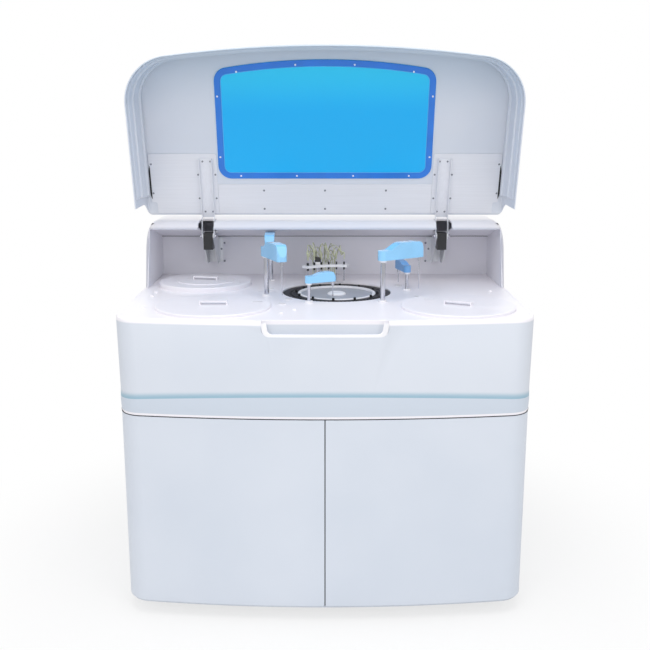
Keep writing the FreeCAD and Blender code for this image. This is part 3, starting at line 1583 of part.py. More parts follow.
def make_hinges():
    """Make the hinge brackets, their spring boxes and the pins with their knobs."""
    brackets = []
    boxes = []
    pins = []
    outer = s.arm_channel / 2 - s.arm_sheet - s.bracket_play
    back = s.back_wall_y
    for side in (-1, 1):
        middle = side * s.hinge_x
        bracket = Piece("bracket")
        ear = s.ear_radius
        slope = (s.ceiling_rear_z - (s.hood_height - s.lip_depth)) / (back - s.ceiling_front_y)
        top = deck_z + s.ceiling_rear_z - s.plate
        outline = Loop(
            (back, deck_z + s.bracket_foot_z),
            (back, top),
            (back - (back - s.hinge_y) * 0.65, top - slope * (back - s.hinge_y) * 0.65),
            (s.hinge_y + ear * 0.3, deck_z + s.hinge_z + ear * 0.95, ear),
            (s.hinge_y - ear * 0.6, deck_z + s.hinge_z - ear * 0.8),
            (back - s.bracket_reach, deck_z + s.bracket_foot_z),
        )
        bracket.pad(bracket.sketch("YZ", outline, level=middle), outer * 2, both=True)
        hollow = rectangle(0, deck_z, back - s.arm_sheet, deck_z + s.hood_height)
        bracket.pocket(bracket.sketch("YZ", hollow, level=middle), (outer - s.arm_sheet) * 2, both=True)
        tab_low = deck_z + s.bracket_foot_z
        for edge in (-1, 1):
            inner_x = middle + edge * outer
            far_x = middle + edge * (outer + s.bracket_tab)
            low_x, high_x = (inner_x, far_x) if edge > 0 else (far_x, inner_x)
            tab = rectangle(low_x, tab_low, high_x, top)
            bracket.pad(bracket.sketch("XZ", tab, level=-back), s.arm_sheet)
        bore = Ring(s.hinge_y, deck_z + s.hinge_z, s.hinge_pin_radius + s.running_fit)
        bracket.pocket(bracket.sketch("YZ", bore, level=middle), s.arm_channel * 2, both=True)
        brackets.append(bracket)

        half = s.spring_box_width / 2
        box = block(
            "spring_box",
            (middle - half, s.hinge_y - ear, deck_z + s.hinge_z - s.spring_box_height + ear),
            (middle + half, s.hinge_y - ear + s.spring_box_length, deck_z + s.hinge_z + ear),
        )
        hole = crossbar(
            "spring_bore", s.hinge_pin_radius + s.running_fit, middle - half - 1, middle + half + 1,
            s.hinge_y, deck_z + s.hinge_z,
        )
        boxes.append(carved("spring_case", box, hole))
        reach = s.arm_channel / 2 + 1
        level = (s.hinge_y, deck_z + s.hinge_z)
        pins.append(joined(
            "hinge_pin",
            crossbar("pin_body", s.hinge_pin_radius, middle - reach, middle + reach, *level),
            crossbar("pin_head", s.knob_radius, middle + reach, middle + reach + s.plate, *level),
            crossbar("pin_tail", s.knob_radius, middle - reach - s.plate, middle - reach, *level),
        ))
    finish(group("brackets", *brackets), "hinge_brackets")
    finish(group("spring_boxes", *boxes), "hinge_spring_boxes")
    finish(group("pins", *pins, *door_pins()), "hinge_pins")


def check_pieces():
    """Stop where any step failed or any piece has no sound solid."""
    document.recompute()
    for thing in document.Objects:
        if any(word in thing.State for word in ("Invalid", "Error")):
            raise RuntimeError(f"{thing.Label} failed: {thing.State}")
    for label, thing in pieces.items():
        shape = thing.Shape
        if shape.isNull() or not shape.isValid() or not shape.Solids:
            raise RuntimeError(f"{label} has no sound solid")


def main():
    """Build every piece and write each to its own file."""
    for make in (
        make_base, make_feet, make_side_panels, make_rear_panel, make_inlet, make_doors,
        make_bulkhead, make_internals, make_console, make_console_floor, make_deck, make_covers,
        make_reaction, make_discs, make_bearings, make_arms, make_wash_station, make_hood, make_liner,
        make_lid_shell, make_window, make_stiffeners, make_lid_arms, make_lid_screws, make_hinges,
    ):
        make()
    check_pieces()
    os.makedirs("parts", exist_ok=True)
    for label, thing in pieces.items():
        thing.Shape.exportStep(f"parts/{label}.step")
    print(len(pieces), "pieces")


main()
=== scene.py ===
"""Looks of a floor-standing clinical chemistry analyzer with its lid raised.

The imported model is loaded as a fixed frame. Each sub-assembly is a class that dresses its own
pieces, and all places are in metres in the frame of that model: X right, Y back, Z up.
"""

import json
import logging
import math
from dataclasses import dataclass, field
from enum import Enum
from typing import Callable, Sequence, Union

import bmesh
import bpy
import numpy as np
from bpy.types import ID, Material, Mesh, Node, NodeSocket, NodeTree, Object
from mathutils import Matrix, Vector


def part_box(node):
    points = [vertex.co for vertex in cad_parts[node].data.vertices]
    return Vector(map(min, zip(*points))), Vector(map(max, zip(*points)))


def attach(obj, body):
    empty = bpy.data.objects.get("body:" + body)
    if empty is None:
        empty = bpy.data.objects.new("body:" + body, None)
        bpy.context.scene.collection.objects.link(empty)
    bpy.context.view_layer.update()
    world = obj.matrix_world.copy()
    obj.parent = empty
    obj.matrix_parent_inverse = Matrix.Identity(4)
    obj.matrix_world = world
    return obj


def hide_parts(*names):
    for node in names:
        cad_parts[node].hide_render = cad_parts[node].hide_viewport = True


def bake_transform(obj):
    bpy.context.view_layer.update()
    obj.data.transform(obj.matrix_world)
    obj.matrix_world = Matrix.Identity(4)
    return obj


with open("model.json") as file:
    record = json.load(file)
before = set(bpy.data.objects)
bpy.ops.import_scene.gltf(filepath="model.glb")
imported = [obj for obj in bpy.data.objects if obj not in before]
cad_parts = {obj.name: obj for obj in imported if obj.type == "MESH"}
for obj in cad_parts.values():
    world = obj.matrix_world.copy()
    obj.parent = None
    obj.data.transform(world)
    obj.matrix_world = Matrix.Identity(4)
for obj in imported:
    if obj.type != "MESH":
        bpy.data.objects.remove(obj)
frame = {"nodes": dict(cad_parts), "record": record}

log = logging.getLogger("analyzer")

Colour = tuple[float, float, float]
Place = tuple[float, float, float]
Number = Union[float, "Signal"]
Array = np.ndarray
Profile = Sequence[tuple[float, float]]

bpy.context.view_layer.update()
SLOT_OF: dict[str, str] = {row["node"]: row["material_slot"] for row in frame["record"]["subparts"]}
BODY_OF: dict[str, str] = {
    node: body for body, nodes in frame["record"]["behaviour"]["bodies"].items() for node in nodes
}
HINGE = next(j for j in frame["record"]["behaviour"]["joints"] if j["name"] == "lid_hinge")

SEAM_Z, DECK_Z = (corner[2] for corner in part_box("console_shell"))
HALF_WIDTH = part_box("console_shell")[1][0]
FRONT_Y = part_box("console_shell")[0][1]
DOOR_LOW_Z, DOOR_TOP_Z = (corner[2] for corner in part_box("door_left"))


def middle(node: str) -> tuple[float, float]:
    """Return the X and Y of the middle of a node's box."""
    low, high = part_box(node)
    return (low[0] + high[0]) / 2, (low[1] + high[1]) / 2


def srgb(code: str) -> Colour:
    """Turn a hex colour into linear red, green and blue.

    Each share is divided by 12.92 up to a knee; above it, 0.055 is added, and the sum over 1.055 is
    raised to the power 2.4.

    Args:
        code: six hex digits after a hash sign.

    Returns:
        The linear colour.
    """
    parts = [int(code[i:i + 2], 16) / 255 for i in (1, 3, 5)]
    return tuple(p / 12.92 if p <= 0.04045 else ((p + 0.055) / 1.055) ** 2.4 for p in parts)


class Axis(Enum):
    """The direction that a grain or a run of streaks follows."""

    X = (1.0, 0.0, 0.0)
    Y = (0.0, 1.0, 0.0)
    Z = (0.0, 0.0, 1.0)


def joined(operation: str, swapped: bool = False) -> Callable:
    """Make a method that joins a Signal with another value by one Math node.

    Args:
        operation: the Math node's operation.
        swapped: whether the other value comes first.

    Returns:
        The method.
    """
    def method(first: "Signal", second: Number) -> "Signal":
        """Add the Math node.

        Args:
            first: the Signal.
            second: the other value.

        Returns:
            The node's result.
        """
        pair = (second, first) if swapped else (first, second)
        settings = {"operation": operation}
        return first.graph.value("ShaderNodeMath", settings, dict(enumerate(pair)))
    return method


class Signal:
    """One shader value that takes part in Python sums."""

    def __init__(self, graph: "Nodes", socket: NodeSocket) -> None:
        """Keep the socket and the node tree that owns it."""
        self.graph = graph
        self.socket = socket

    __add__ = __radd__ = joined("ADD")
    __sub__ = joined("SUBTRACT")
    __rsub__ = joined("SUBTRACT", swapped=True)
    __mul__ = __rmul__ = joined("MULTIPLY")
    __truediv__ = joined("DIVIDE")
    __rtruediv__ = joined("DIVIDE", swapped=True)
    larger = joined("MAXIMUM")

    def rise(self, low: float, high: float) -> "Signal":
        """Return 0 below low, 1 above high and a smooth step between."""
        settings = {"interpolation_type": "SMOOTHSTEP"}
        return self.graph.value("ShaderNodeMapRange", settings, {0: self, 1: low, 2: high})


class Nodes:
    """One node tree, of a material or of the world."""

    def __init__(self, tree: NodeTree) -> None:
        """Keep the tree."""
        self.tree = tree

    def node(self, kind: str, settings: dict, inputs: dict) -> Node:
        """Add one node.

        Args:
            kind: the node's type.
            settings: its own properties, set before its sockets.
            inputs: socket name or index to a number, a colour, a socket or a Signal.

        Returns:
            The new node.
        """
        made = self.tree.nodes.new(kind)
        for key, value in settings.items():
            setattr(made, key, value)
        for key, value in inputs.items():
            self.feed(made.inputs[key], value)
        return made

    def feed(self, socket: NodeSocket, value: object) -> None:
        """Link a socket to a value, or set its own number or colour.

        Args:
            socket: the input.
            value: a Signal, a socket, a number, a linear colour or a hex colour.
        """
        if isinstance(value, Signal):
            self.tree.links.new(value.socket, socket)
        elif isinstance(value, NodeSocket):
            self.tree.links.new(value, socket)
        elif socket.type == "RGBA":
            socket.default_value = (*(srgb(value) if isinstance(value, str) else value), 1.0)
        else:
            socket.default_value = value

    def value(self, kind: str, settings: dict, inputs: dict) -> Signal:
        """Add a node and return its first output."""
        return Signal(self, self.node(kind, settings, inputs).outputs[0])


class Graph(Nodes):
    """The node tree of one material."""

    def __init__(self, name: str) -> None:
        """Start a material with one Principled shader.

        Args:
            name: the material's name.
        """
        self.material = bpy.data.materials.new(name)
        self.material.use_nodes = True
        super().__init__(self.material.node_tree)
        self.shader = self.tree.nodes["Principled BSDF"]
        self.place = self.node("ShaderNodeTexCoord", {}, {}).outputs["Object"]

    def noise(self, scale: float, detail: float = 2.0, stretch: Axis | None = None,
              pull: float = 0.02) -> Signal:
        """Return noise between 0 and 1, drawn out along an axis where one is given.

        Args:
            scale: how many features there are in a metre, about.
            detail: how many finer layers are added.
            stretch: the axis along which the noise is drawn out.
            pull: how much of the scale is left along that axis.

        Returns:
            The noise.
        """
        place = self.place
        if stretch:
            squeeze = tuple(pull if along else 1.0 for along in stretch.value)
            inputs = {"Vector": place, "Scale": squeeze}
            place = self.node("ShaderNodeMapping", {}, inputs).outputs[0]
        inputs = {"Vector": place, "Scale": scale, "Detail": detail}
        return self.value("ShaderNodeTexNoise", {}, inputs)

    def along(self, letter: str) -> Signal:
        """Return one object coordinate."""
        split = self.node("ShaderNodeSeparateXYZ", {}, {0: self.place})
        return Signal(self, split.outputs[letter])

    def blend(self, share: Number, first: object, second: object) -> NodeSocket:
        """Return a colour between two colours."""
        made = self.node("ShaderNodeMix", {"data_type": "RGBA"}, {0: share, 6: first, 7: second})
        return made.outputs[2]

    def relief(self, height: Signal, depth: float) -> None:
        """Raise the surface by a height.

        Args:
            height: a value between 0 and 1.
            depth: how many metres 1 stands for.
        """
        inputs = {"Height": height, "Distance": depth, "Strength": 1.0}
        bump = self.node("ShaderNodeBump", {}, inputs)
        self.feed(self.shader.inputs["Normal"], bump.outputs[0])

    def set(self, **sockets: object) -> None:
        """Feed the Principled shader's sockets, named with underscores for spaces."""
        for key, value in sockets.items():
            self.feed(self.shader.inputs[key.replace("_", " ")], value)


@dataclass(frozen=True)
class Finish:
    """What a surface is made of."""

    name: str
    colour: str

    def feed(self, graph: Graph) -> None:
        """Set the shader: plain colour, which each kind of finish makes richer."""
        graph.set(Base_Color=self.colour)

    def darker(self, share: float) -> Colour:
        """Return the colour multiplied by a share."""
        return tuple(c * share for c in srgb(self.colour))

    def build(self) -> Material:
        """Make the material under the finish's name.

        Returns:
            The material.
        """
        graph = Graph(self.name)
        self.feed(graph)
        return graph.material


@dataclass(frozen=True)
class Paint(Finish):
    """Sprayed paint with a faint orange peel and a slow drift of tone."""

    shade: str
    roughness: float = 0.38
    peel: float = 0.00006
    peel_scale: float = 420.0
    swing: float = 0.12
    coat: float = 0.12
    coat_roughness: float = 0.3

    def tone(self, graph: Graph) -> object:
        """Return the colour: two near tones, mixed by slow noise."""
        drift = graph.noise(scale=2.3, detail=3.0).rise(low=0.3, high=0.7)
        return graph.blend(drift, self.colour, self.shade)

    def feed(self, graph: Graph) -> None:
        """Set the shader: gloss and relief follow a fine noise.

        Args:
            graph: the material's node tree.
        """
        peel = graph.noise(self.peel_scale, detail=3.0)
        graph.set(
            Base_Color=self.tone(graph),
            Roughness=peel * self.swing + (self.roughness - self.swing / 2),
            Coat_Weight=self.coat,
            Coat_Roughness=self.coat_roughness,
        )
        graph.relief(peel, self.peel)


@dataclass(frozen=True)
class GradedPaint(Paint):
    """Paint that turns to another tone along one axis, from one place on it to another."""

    end: str = "#808080"
    axis: str = "Z"
    start_at: float = 0.0
    end_at: float = 1.0

    def tone(self, graph: Graph) -> object:
        """Return the colour: the drift of tones, mixed with the end tone along the axis."""
        share = graph.along(self.axis).rise(self.start_at, self.end_at)
        return graph.blend(share, super().tone(graph), self.end)


@dataclass(frozen=True)
class CreasedPaint(Paint):
    """Paint of the console, with painted shade at its crease and lip and painted highlight at its
    edges.
    """

    # crease and below are painted shade; edge is the painted highlight of the top edge and the hem
    crease: str = "#8FB6C9"
    below: str = "#CDD6E2"
    edge: str = "#F6F3F8"
    level: float = 0.0
    drop: float = 0.004
    dip: float = 0.019
    foot: float = 0.0
    top: float = 1.0
    half: float = 1.0
    step: tuple[float, float] = (-0.0012, 0.0006)
    fade: tuple[float, float] = (0.002, 0.021)
    hem: tuple[float, float] = (0.006, 0.009)
    crown: tuple[float, float] = (0.015, 0.009)
    strength: float = 0.9

    def tone(self, graph: Graph) -> object:
        """Return the colour.

        The height over the crease is Z less a level that drops by the square of X towards the
        corners. The crease's painted shade, a bluish tint, is full just above that level and fades
        over 19 mm; below it the lip is a little greyer, also painted shade. The hem over the seam
        and the last 15 mm under the top are pale: painted highlight.

        Args:
            graph: the material's node tree.

        Returns:
            The mixed colour.
        """
        side = graph.along("X") / self.half
        height = graph.along("Z")
        over = height - (self.level - self.drop) + side * side * self.dip
        above = over.rise(*self.step)
        # painted shade: the crease's tint, and the greyer lip below it
        tint = (1.0 - over.rise(*self.fade)) * above
        body = graph.blend(1.0 - above, super().tone(graph), self.below)
        shaded = graph.blend(tint * self.strength, body, self.crease)
        # painted highlight over the seam and along the top edge
        hem = 1.0 - height.rise(*(self.foot + h for h in self.hem))
        crown = height.rise(*(self.top - h for h in self.crown))
        return graph.blend(crown + hem, shaded, self.edge)


@dataclass(frozen=True)
class Metal(Finish):
    """Bare metal with streaks along one axis."""

    roughness: float
    grain: Axis
    metallic: float = 1.0
    depth: float = 0.00002
    contrast: float = 0.18
    sweep: float = 0.16
    smear: float = 0.08

    def feed(self, graph: Graph) -> None:
        """Set the shader: long fine streaks vary the tone, the gloss and the relief.

        Args:
            graph: the material's node tree.
        """
        streak = graph.noise(scale=260.0, detail=4.0, stretch=self.grain)
        smudge = graph.noise(scale=9.0, detail=3.0)
        dark = self.darker(1.0 - self.contrast)
        least = self.roughness - self.sweep / 2 - self.smear / 2
        graph.set(
            Base_Color=graph.blend(streak.rise(low=0.35, high=0.65), dark, self.colour),
            Roughness=streak * self.sweep + smudge * self.smear + least,
            Metallic=self.metallic,
        )
        graph.relief(streak, self.depth)


@dataclass(frozen=True)
class Moulding(Finish):
    """Moulded plastic or rubber with a fine spark-eroded texture."""

    roughness: float
    coat: float = 0.0
    grain: float = 900.0
    depth: float = 0.00003
    deep: float = 0.93
    swing: float = 0.1
    coat_roughness: float = 0.08

    def feed(self, graph: Graph) -> None:
        """Set the shader: fine grain for relief, slow noise for a slight change of tone.

        Args:
            graph: the material's node tree.
        """
        grain = graph.noise(self.grain)
        cloud = graph.noise(scale=14.0, detail=3.0).rise(low=0.25, high=0.75)
        graph.set(
            Base_Color=graph.blend(cloud, self.darker(self.deep), self.colour),
            Roughness=grain * self.swing + (self.roughness - self.swing / 2),
            Coat_Weight=self.coat,
            Coat_Roughness=self.coat_roughness,
        )
        graph.relief(grain, self.depth)


@dataclass(frozen=True)
class Acrylic(Finish):
    """Clear tinted sheet or tube."""

    edge: str
    alpha: float
    roughness: float = 0.25
    rise_from: float = 0.0
    rise_to: float = 3.0
    swing: float = 0.015
    ior: float = 1.49
    specular: float = 0.3

    def feed(self, graph: Graph) -> None:
        """Set the shader: the tint changes with height, with faint waves in the gloss.

        Args:
            graph: the material's node tree.
        """
        wave = graph.noise(scale=7.0)
        lift = graph.along("Z").rise(self.rise_from, self.rise_to)
        graph.set(
            Base_Color=graph.blend(lift, self.colour, self.edge),
            Roughness=wave * self.swing + self.roughness,
            Alpha=self.alpha,
            IOR=self.ior,
            Specular_IOR_Level=self.specular,
        )


class Shelf:
    """Keeps one material for each finish."""

    def __init__(self) -> None:
        """Start with no material made."""
        self.made: dict[str, Material] = {}

    def take(self, finish: Finish) -> Material:
        """Return the finish's material, made once.

        Args:
            finish: what is asked for.

        Returns:
            Its material.
        """
        if finish.name not in self.made:
            self.made[finish.name] = finish.build()
        return self.made[finish.name]


CREASE_Z = SEAM_Z + 0.070
NOSE_FOOT_Z, NOSE_TOP_Z = DECK_Z + 0.186, DECK_Z + 0.198
TUBE_TOP_Z = DECK_Z + 0.15

PANEL = Paint("panel_paint", "#D8DEE8", "#D2D9E4")
# The console's crease and lip carry painted shade; its top edge and the hem over the seam carry
# painted highlight.
CONSOLE_PAINT_LIT_AND_SHADED = CreasedPaint(
    "console_paint_lit_and_shaded", "#DADFE8", "#D5DBE5", level=CREASE_Z, foot=SEAM_Z, top=DECK_Z, half=HALF_WIDTH
)
# The lid turns darker and bluer near its raised top: painted shade.
LID_PAINT_SHADED = GradedPaint(
    "lid_paint_shaded", "#DEE2EA", "#D7DDE7", 0.46, end="#BECDDB", start_at=1.45, end_at=1.75
)
LID_PLATE = Metal("lid_plate", "#E6E8EE", 0.5, Axis.X, 0.1, 0.000004, contrast=0.025, sweep=0.04)
LID_CHANNEL = Metal("lid_channel", "#E8EAF0", 0.42, Axis.Z, 0.25, 0.000006, 0.04, sweep=0.06)
DECK_WHITE = Paint("deck_white", "#F6F3F8", "#F1EEF4", 0.34)
COVER_WHITE = Paint("cover_white", "#F1EFF5", "#ECEAF1", 0.36)
LINER_GREY = Paint("liner_grey", "#EDECF3", "#E4E4EC", 0.5)
# The hood shell is grey below its nose as painted shade; the near-white nose is its own colour.
HOOD_PAINT_SHADED = GradedPaint(
    "hood_paint_shaded", "#C9CAD6", "#C4C6D2", end="#F7F5F9", start_at=NOSE_FOOT_Z, end_at=NOSE_TOP_Z
)
SHEET_PAINT = Paint("sheet_paint", "#CDD3DB", "#C4CAD3", 0.5)
SATIN = Metal("satin_aluminium", "#E4E6EB", 0.42, Axis.X, 0.35, contrast=0.08)
BRACKET = Metal("bracket_zinc", "#E4E6EA", 0.34, Axis.Z, 0.4, contrast=0.08)
# The steel's colour streaks along Z are partly grain and partly painted reflection.
GROUND_STEEL = Metal("ground_steel", "#C9CAD2", 0.14, Axis.Z, contrast=0.08, sweep=0.06)
ARM_BLUE = Moulding("arm_blue", "#93D2FD", 0.26, 0.7)
MIXER_BLUE = Moulding("mixer_blue", "#6FA9E2", 0.32, 0.4, deep=0.88)
BLACK = Moulding("black_moulding", "#17181C", 0.4, 0.15)
RING_BLACK = Moulding("ring_black", "#0C0D12", 0.5, 0.05, grain=240.0, depth=0.00008, deep=0.5)
ROTOR_GREY = Moulding("rotor_grey", "#A6A9B2", 0.42, 0.2)
WHITE = Moulding("white_moulding", "#F3F2F6", 0.36, 0.2)
# The recess lip is whiter than the panel: painted highlight.
LIP_HIGHLIGHT = Moulding("lip_highlight", "#FBFAFE", 0.34, 0.2)
RUBBER = Moulding("black_rubber", "#1C1F28", 0.7)
SCREW = Metal("screw_zinc", "#8C8F98", 0.3, Axis.X, 0.8)
LID_SCREW = GradedPaint(
    "lid_screw", "#7F828B", "#777A83", 0.3, end="#F4F6FA", start_at=1.23, end_at=1.25
)
WINDOW = Acrylic("window_tint", "#1CBAFD", "#33D4FF", 0.97, rise_from=1.48, rise_to=1.64)
# The window's border is the acrylic's margin, darker blue as painted shade.
BORDER_SHADE = Moulding("window_border", "#1F7CE2", 0.35, 0.2, deep=0.9)
# The lighter line inside the window's border is a painted highlight.
BORDER_HIGHLIGHT = Moulding("window_border_highlight", "#57B4F6", 0.3, 0.3)
TUBING = Acrylic(
    "tubing_clear", "#E4E7CC", "#D6DABA", 0.8, rise_from=DECK_Z, rise_to=TUBE_TOP_Z
)

SLOT_FINISH = {
    "painted_panel": PANEL, "deck_white": DECK_WHITE, "hood_grey": LINER_GREY,
    "sheet_steel": SHEET_PAINT, "aluminium": SATIN, "steel": GROUND_STEEL,
    "black_plastic": BLACK, "rotor_grey": ROTOR_GREY, "arm_blue": ARM_BLUE,
    "window_blue": WINDOW, "white_plastic": WHITE, "tubing": TUBING, "rubber": RUBBER,
}

NODE_FINISH = {
    "console_shell": CONSOLE_PAINT_LIT_AND_SHADED, "hood_shell": HOOD_PAINT_SHADED, "hinge_brackets": BRACKET,
    "lid_shell": LID_PAINT_SHADED, "lid_stiffeners": LID_PLATE, "lid_arms": LID_CHANNEL,
    "lid_screws": LID_SCREW, "cuvette_ring": RING_BLACK, "mixer_rear_head": MIXER_BLUE,
    "reagent_cover_front": COVER_WHITE, "reagent_cover_rear": COVER_WHITE,
    "sample_cover": COVER_WHITE, "wash_head": WHITE, "shaft_bushes": WHITE,
}


def points(x: object, y: object, z: object) -> Array:
    """Join X, Y and Z into points, each spread over the shape that the three share."""
    return np.stack(np.broadcast_arrays(x, y, z), -1)


def raised(plan: Array, height: Array) -> Array:
    """Give a plan's X and Y a Z: one height per profile point, or a column of one per path step."""
    return points(plan[..., 0], plan[..., 1], height)


def rectangle(low: Sequence[float], high: Sequence[float]) -> tuple[Array, Array]:
    """Return both coordinates of a rectangle's four corners, in order round it."""
    return np.array([low[0], high[0], high[0], low[0]]), np.array([low[1], low[1], high[1], high[1]])


def turned(place: Sequence[float], radius: Array, height: Array, steps: int = 20) -> Array:
    """Turn a profile of radius and height about an upright axis.

    Each profile point runs round a circle: X is the radius times the cosine of the angle and Y
    the radius times its sine, both from the place, and Z is the place's plus the height.

    Args:
        place: the origin of the profile, on the axis.
        radius: one value per profile point.
        height: one value per profile point.
        steps: places round the circle.

    Returns:
        X, Y and Z in an array of steps by profile points by three.
    """
    angle = np.linspace(0, 2 * math.pi, steps, endpoint=False)[:, None]
    x, y, z = place
    return points(x + radius * np.cos(angle), y + radius * np.sin(angle), z + height)


class LidFrame:
    """Carries places between the lid as it lies closed and the lid as it stands open."""

    def __init__(self) -> None:
        """Take the hinge line and the opening from the record."""
        self.hinge_y, self.hinge_z = HINGE["pos_m"][1:]
        turn = math.radians(-HINGE["range_deg"][0])
        self.cos, self.sin = math.cos(turn), math.sin(turn)

    def opened(self, closed: Array) -> Array:
        """Swing points from closed to open.

        Args:
            closed: points with X, then Y and Z from the hinge line.

        Returns:
            The same points in the frame, turned about the hinge line by the opening.
        """
        x, y, z = np.moveaxis(closed, -1, 0)
        back = self.hinge_y + self.cos * y + self.sin * z
        up = self.hinge_z - self.sin * y + self.cos * z
        return points(x, back, up)

    def span(self, node: str) -> tuple[Array, Array]:
        """Measure a node in the closed lid's own directions.

        Args:
            node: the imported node.

        Returns:
            Its lowest and highest place, with Y and Z from the hinge line.
        """
        mesh = frame["nodes"][node].data
        flat = np.empty(len(mesh.vertices) * 3)
        mesh.vertices.foreach_get("co", flat)
        x, y, z = flat.reshape(-1, 3).T
        y, z = y - self.hinge_y, z - self.hinge_z
        closed = np.stack([x, self.cos * y - self.sin * z, self.sin * y + self.cos * z])
        return closed.min(axis=1), closed.max(axis=1)


def bowed_path(half: Array, front: Array, bow: Array, corner: Array,
               rear: Array, legs: int = 12, turns: int = 16, run: int = 40) -> Array:
    """Trace the machine's bowed plan from its right rear end round the front to the left.

    The front is an arc of radius bow, the corners are arcs of radius corner that touch it and the
    sides, and the sides run straight back. The right half is worked out and mirrored.

    Args:
        half: half of the width, one value per profile point, as are the rest.
        front: Y of the foremost point.
        bow: radius of the front arc.
        corner: radius of the corners.
        rear: Y where the sides end.
        legs: places along each side.
        turns: places along each corner.
        run: places along half of the front.

    Returns:
        X and Y in an array of path steps by profile points by two.
    """
    drop = np.sqrt((bow - corner) ** 2 - (half - corner) ** 2)
    side_y = front + bow - drop
    tilt = np.arctan2(-drop, half - corner)
    side = np.linspace(0, 1, legs)[:-1, None]
    bend = np.linspace(0, 1, turns)[:-1, None] * tilt
    sweep = tilt + np.linspace(0, 1, run)[:, None] * (-math.pi / 2 - tilt)
    x = np.concatenate([
        half + side * 0, half - corner + corner * np.cos(bend), bow * np.cos(sweep)
    ])
    y = np.concatenate([
        rear + (side_y - rear) * side,
        side_y + corner * np.sin(bend),
        front + bow + bow * np.sin(sweep),
    ])
    right = np.stack([x, y], -1)
    left = right[-2::-1] * (-1, 1)
    return np.concatenate([right, left])


def round_box_loop(half_x: float, half_y: float, corner: float, steps: int = 8) -> Array:
    """Trace a rectangle with round corners: a quarter circle at equal angles, mirrored twice.

    Args:
        half_x: half of its width.
        half_y: half of its depth.
        corner: radius of its corners.
        steps: places along each corner.

    Returns:
        X and Y, places by two.
    """
    angle = np.linspace(0, math.pi / 2, steps)
    x = half_x - corner + corner * np.cos(angle)
    y = half_y - corner + corner * np.sin(angle)
    quarter = np.stack([x, y], -1)
    signs = ((1, 1), (-1, 1), (-1, -1), (1, -1))
    return np.concatenate([quarter[::sx * sy] * (sx, sy) for sx, sy in signs])


def smooth_path(knots: Array, count: int) -> Array:
    """Return points on a Catmull-Rom curve: each cubic piece passes through two knots and leans
    on their neighbours.

    Args:
        knots: the places it passes through, in order.
        count: how many points to return.

    Returns:
        The points, count by three.
    """
    padded = np.concatenate([2 * knots[:1] - knots[1:2], knots, 2 * knots[-1:] - knots[-2:-1]])
    u = np.linspace(0, len(knots) - 1, count)
    piece = np.minimum(u.astype(int), len(knots) - 2)
    t = (u - piece)[:, None]
    a, b, c, d = (padded[piece + k] for k in range(4))
    square = (2 * a - 5 * b + 4 * c - d) * t ** 2
    cube = (3 * b - a - 3 * c + d) * t ** 3
    return 0.5 * (2 * b + (c - a) * t + square + cube)


def unit(vectors: Array) -> Array:
    """Return vectors divided by their lengths."""
    return vectors / np.linalg.norm(vectors, axis=1, keepdims=True)


def pipe_rings(path: Array, radius: float, sides: int = 8) -> Array:
    """Carry a circle along a path, square to it.

    The tangent is the difference of each place's neighbours, and the circle's two axes are cross
    products with it.

    Args:
        path: places by three.
        radius: the circle's.
        sides: places round the circle.

    Returns:
        Places by sides by three.
    """
    tangent = unit(np.gradient(path, axis=0))
    first = unit(np.cross(tangent, Axis.X.value))
    second = np.cross(tangent, first)
    angle = np.linspace(0, 2 * math.pi, sides, endpoint=False)[None, :, None]
    circle = np.cos(angle) * first[:, None] + np.sin(angle) * second[:, None]
    return path[:, None] + radius * circle


def add_object(name: str, data: ID) -> Object:
    """Add an object to the scene.

    Args:
        name: the object's name.
        data: its mesh, light or camera.

    Returns:
        The object.
    """
    thing = bpy.data.objects.new(name, data)
    bpy.context.scene.collection.objects.link(thing)
    return thing


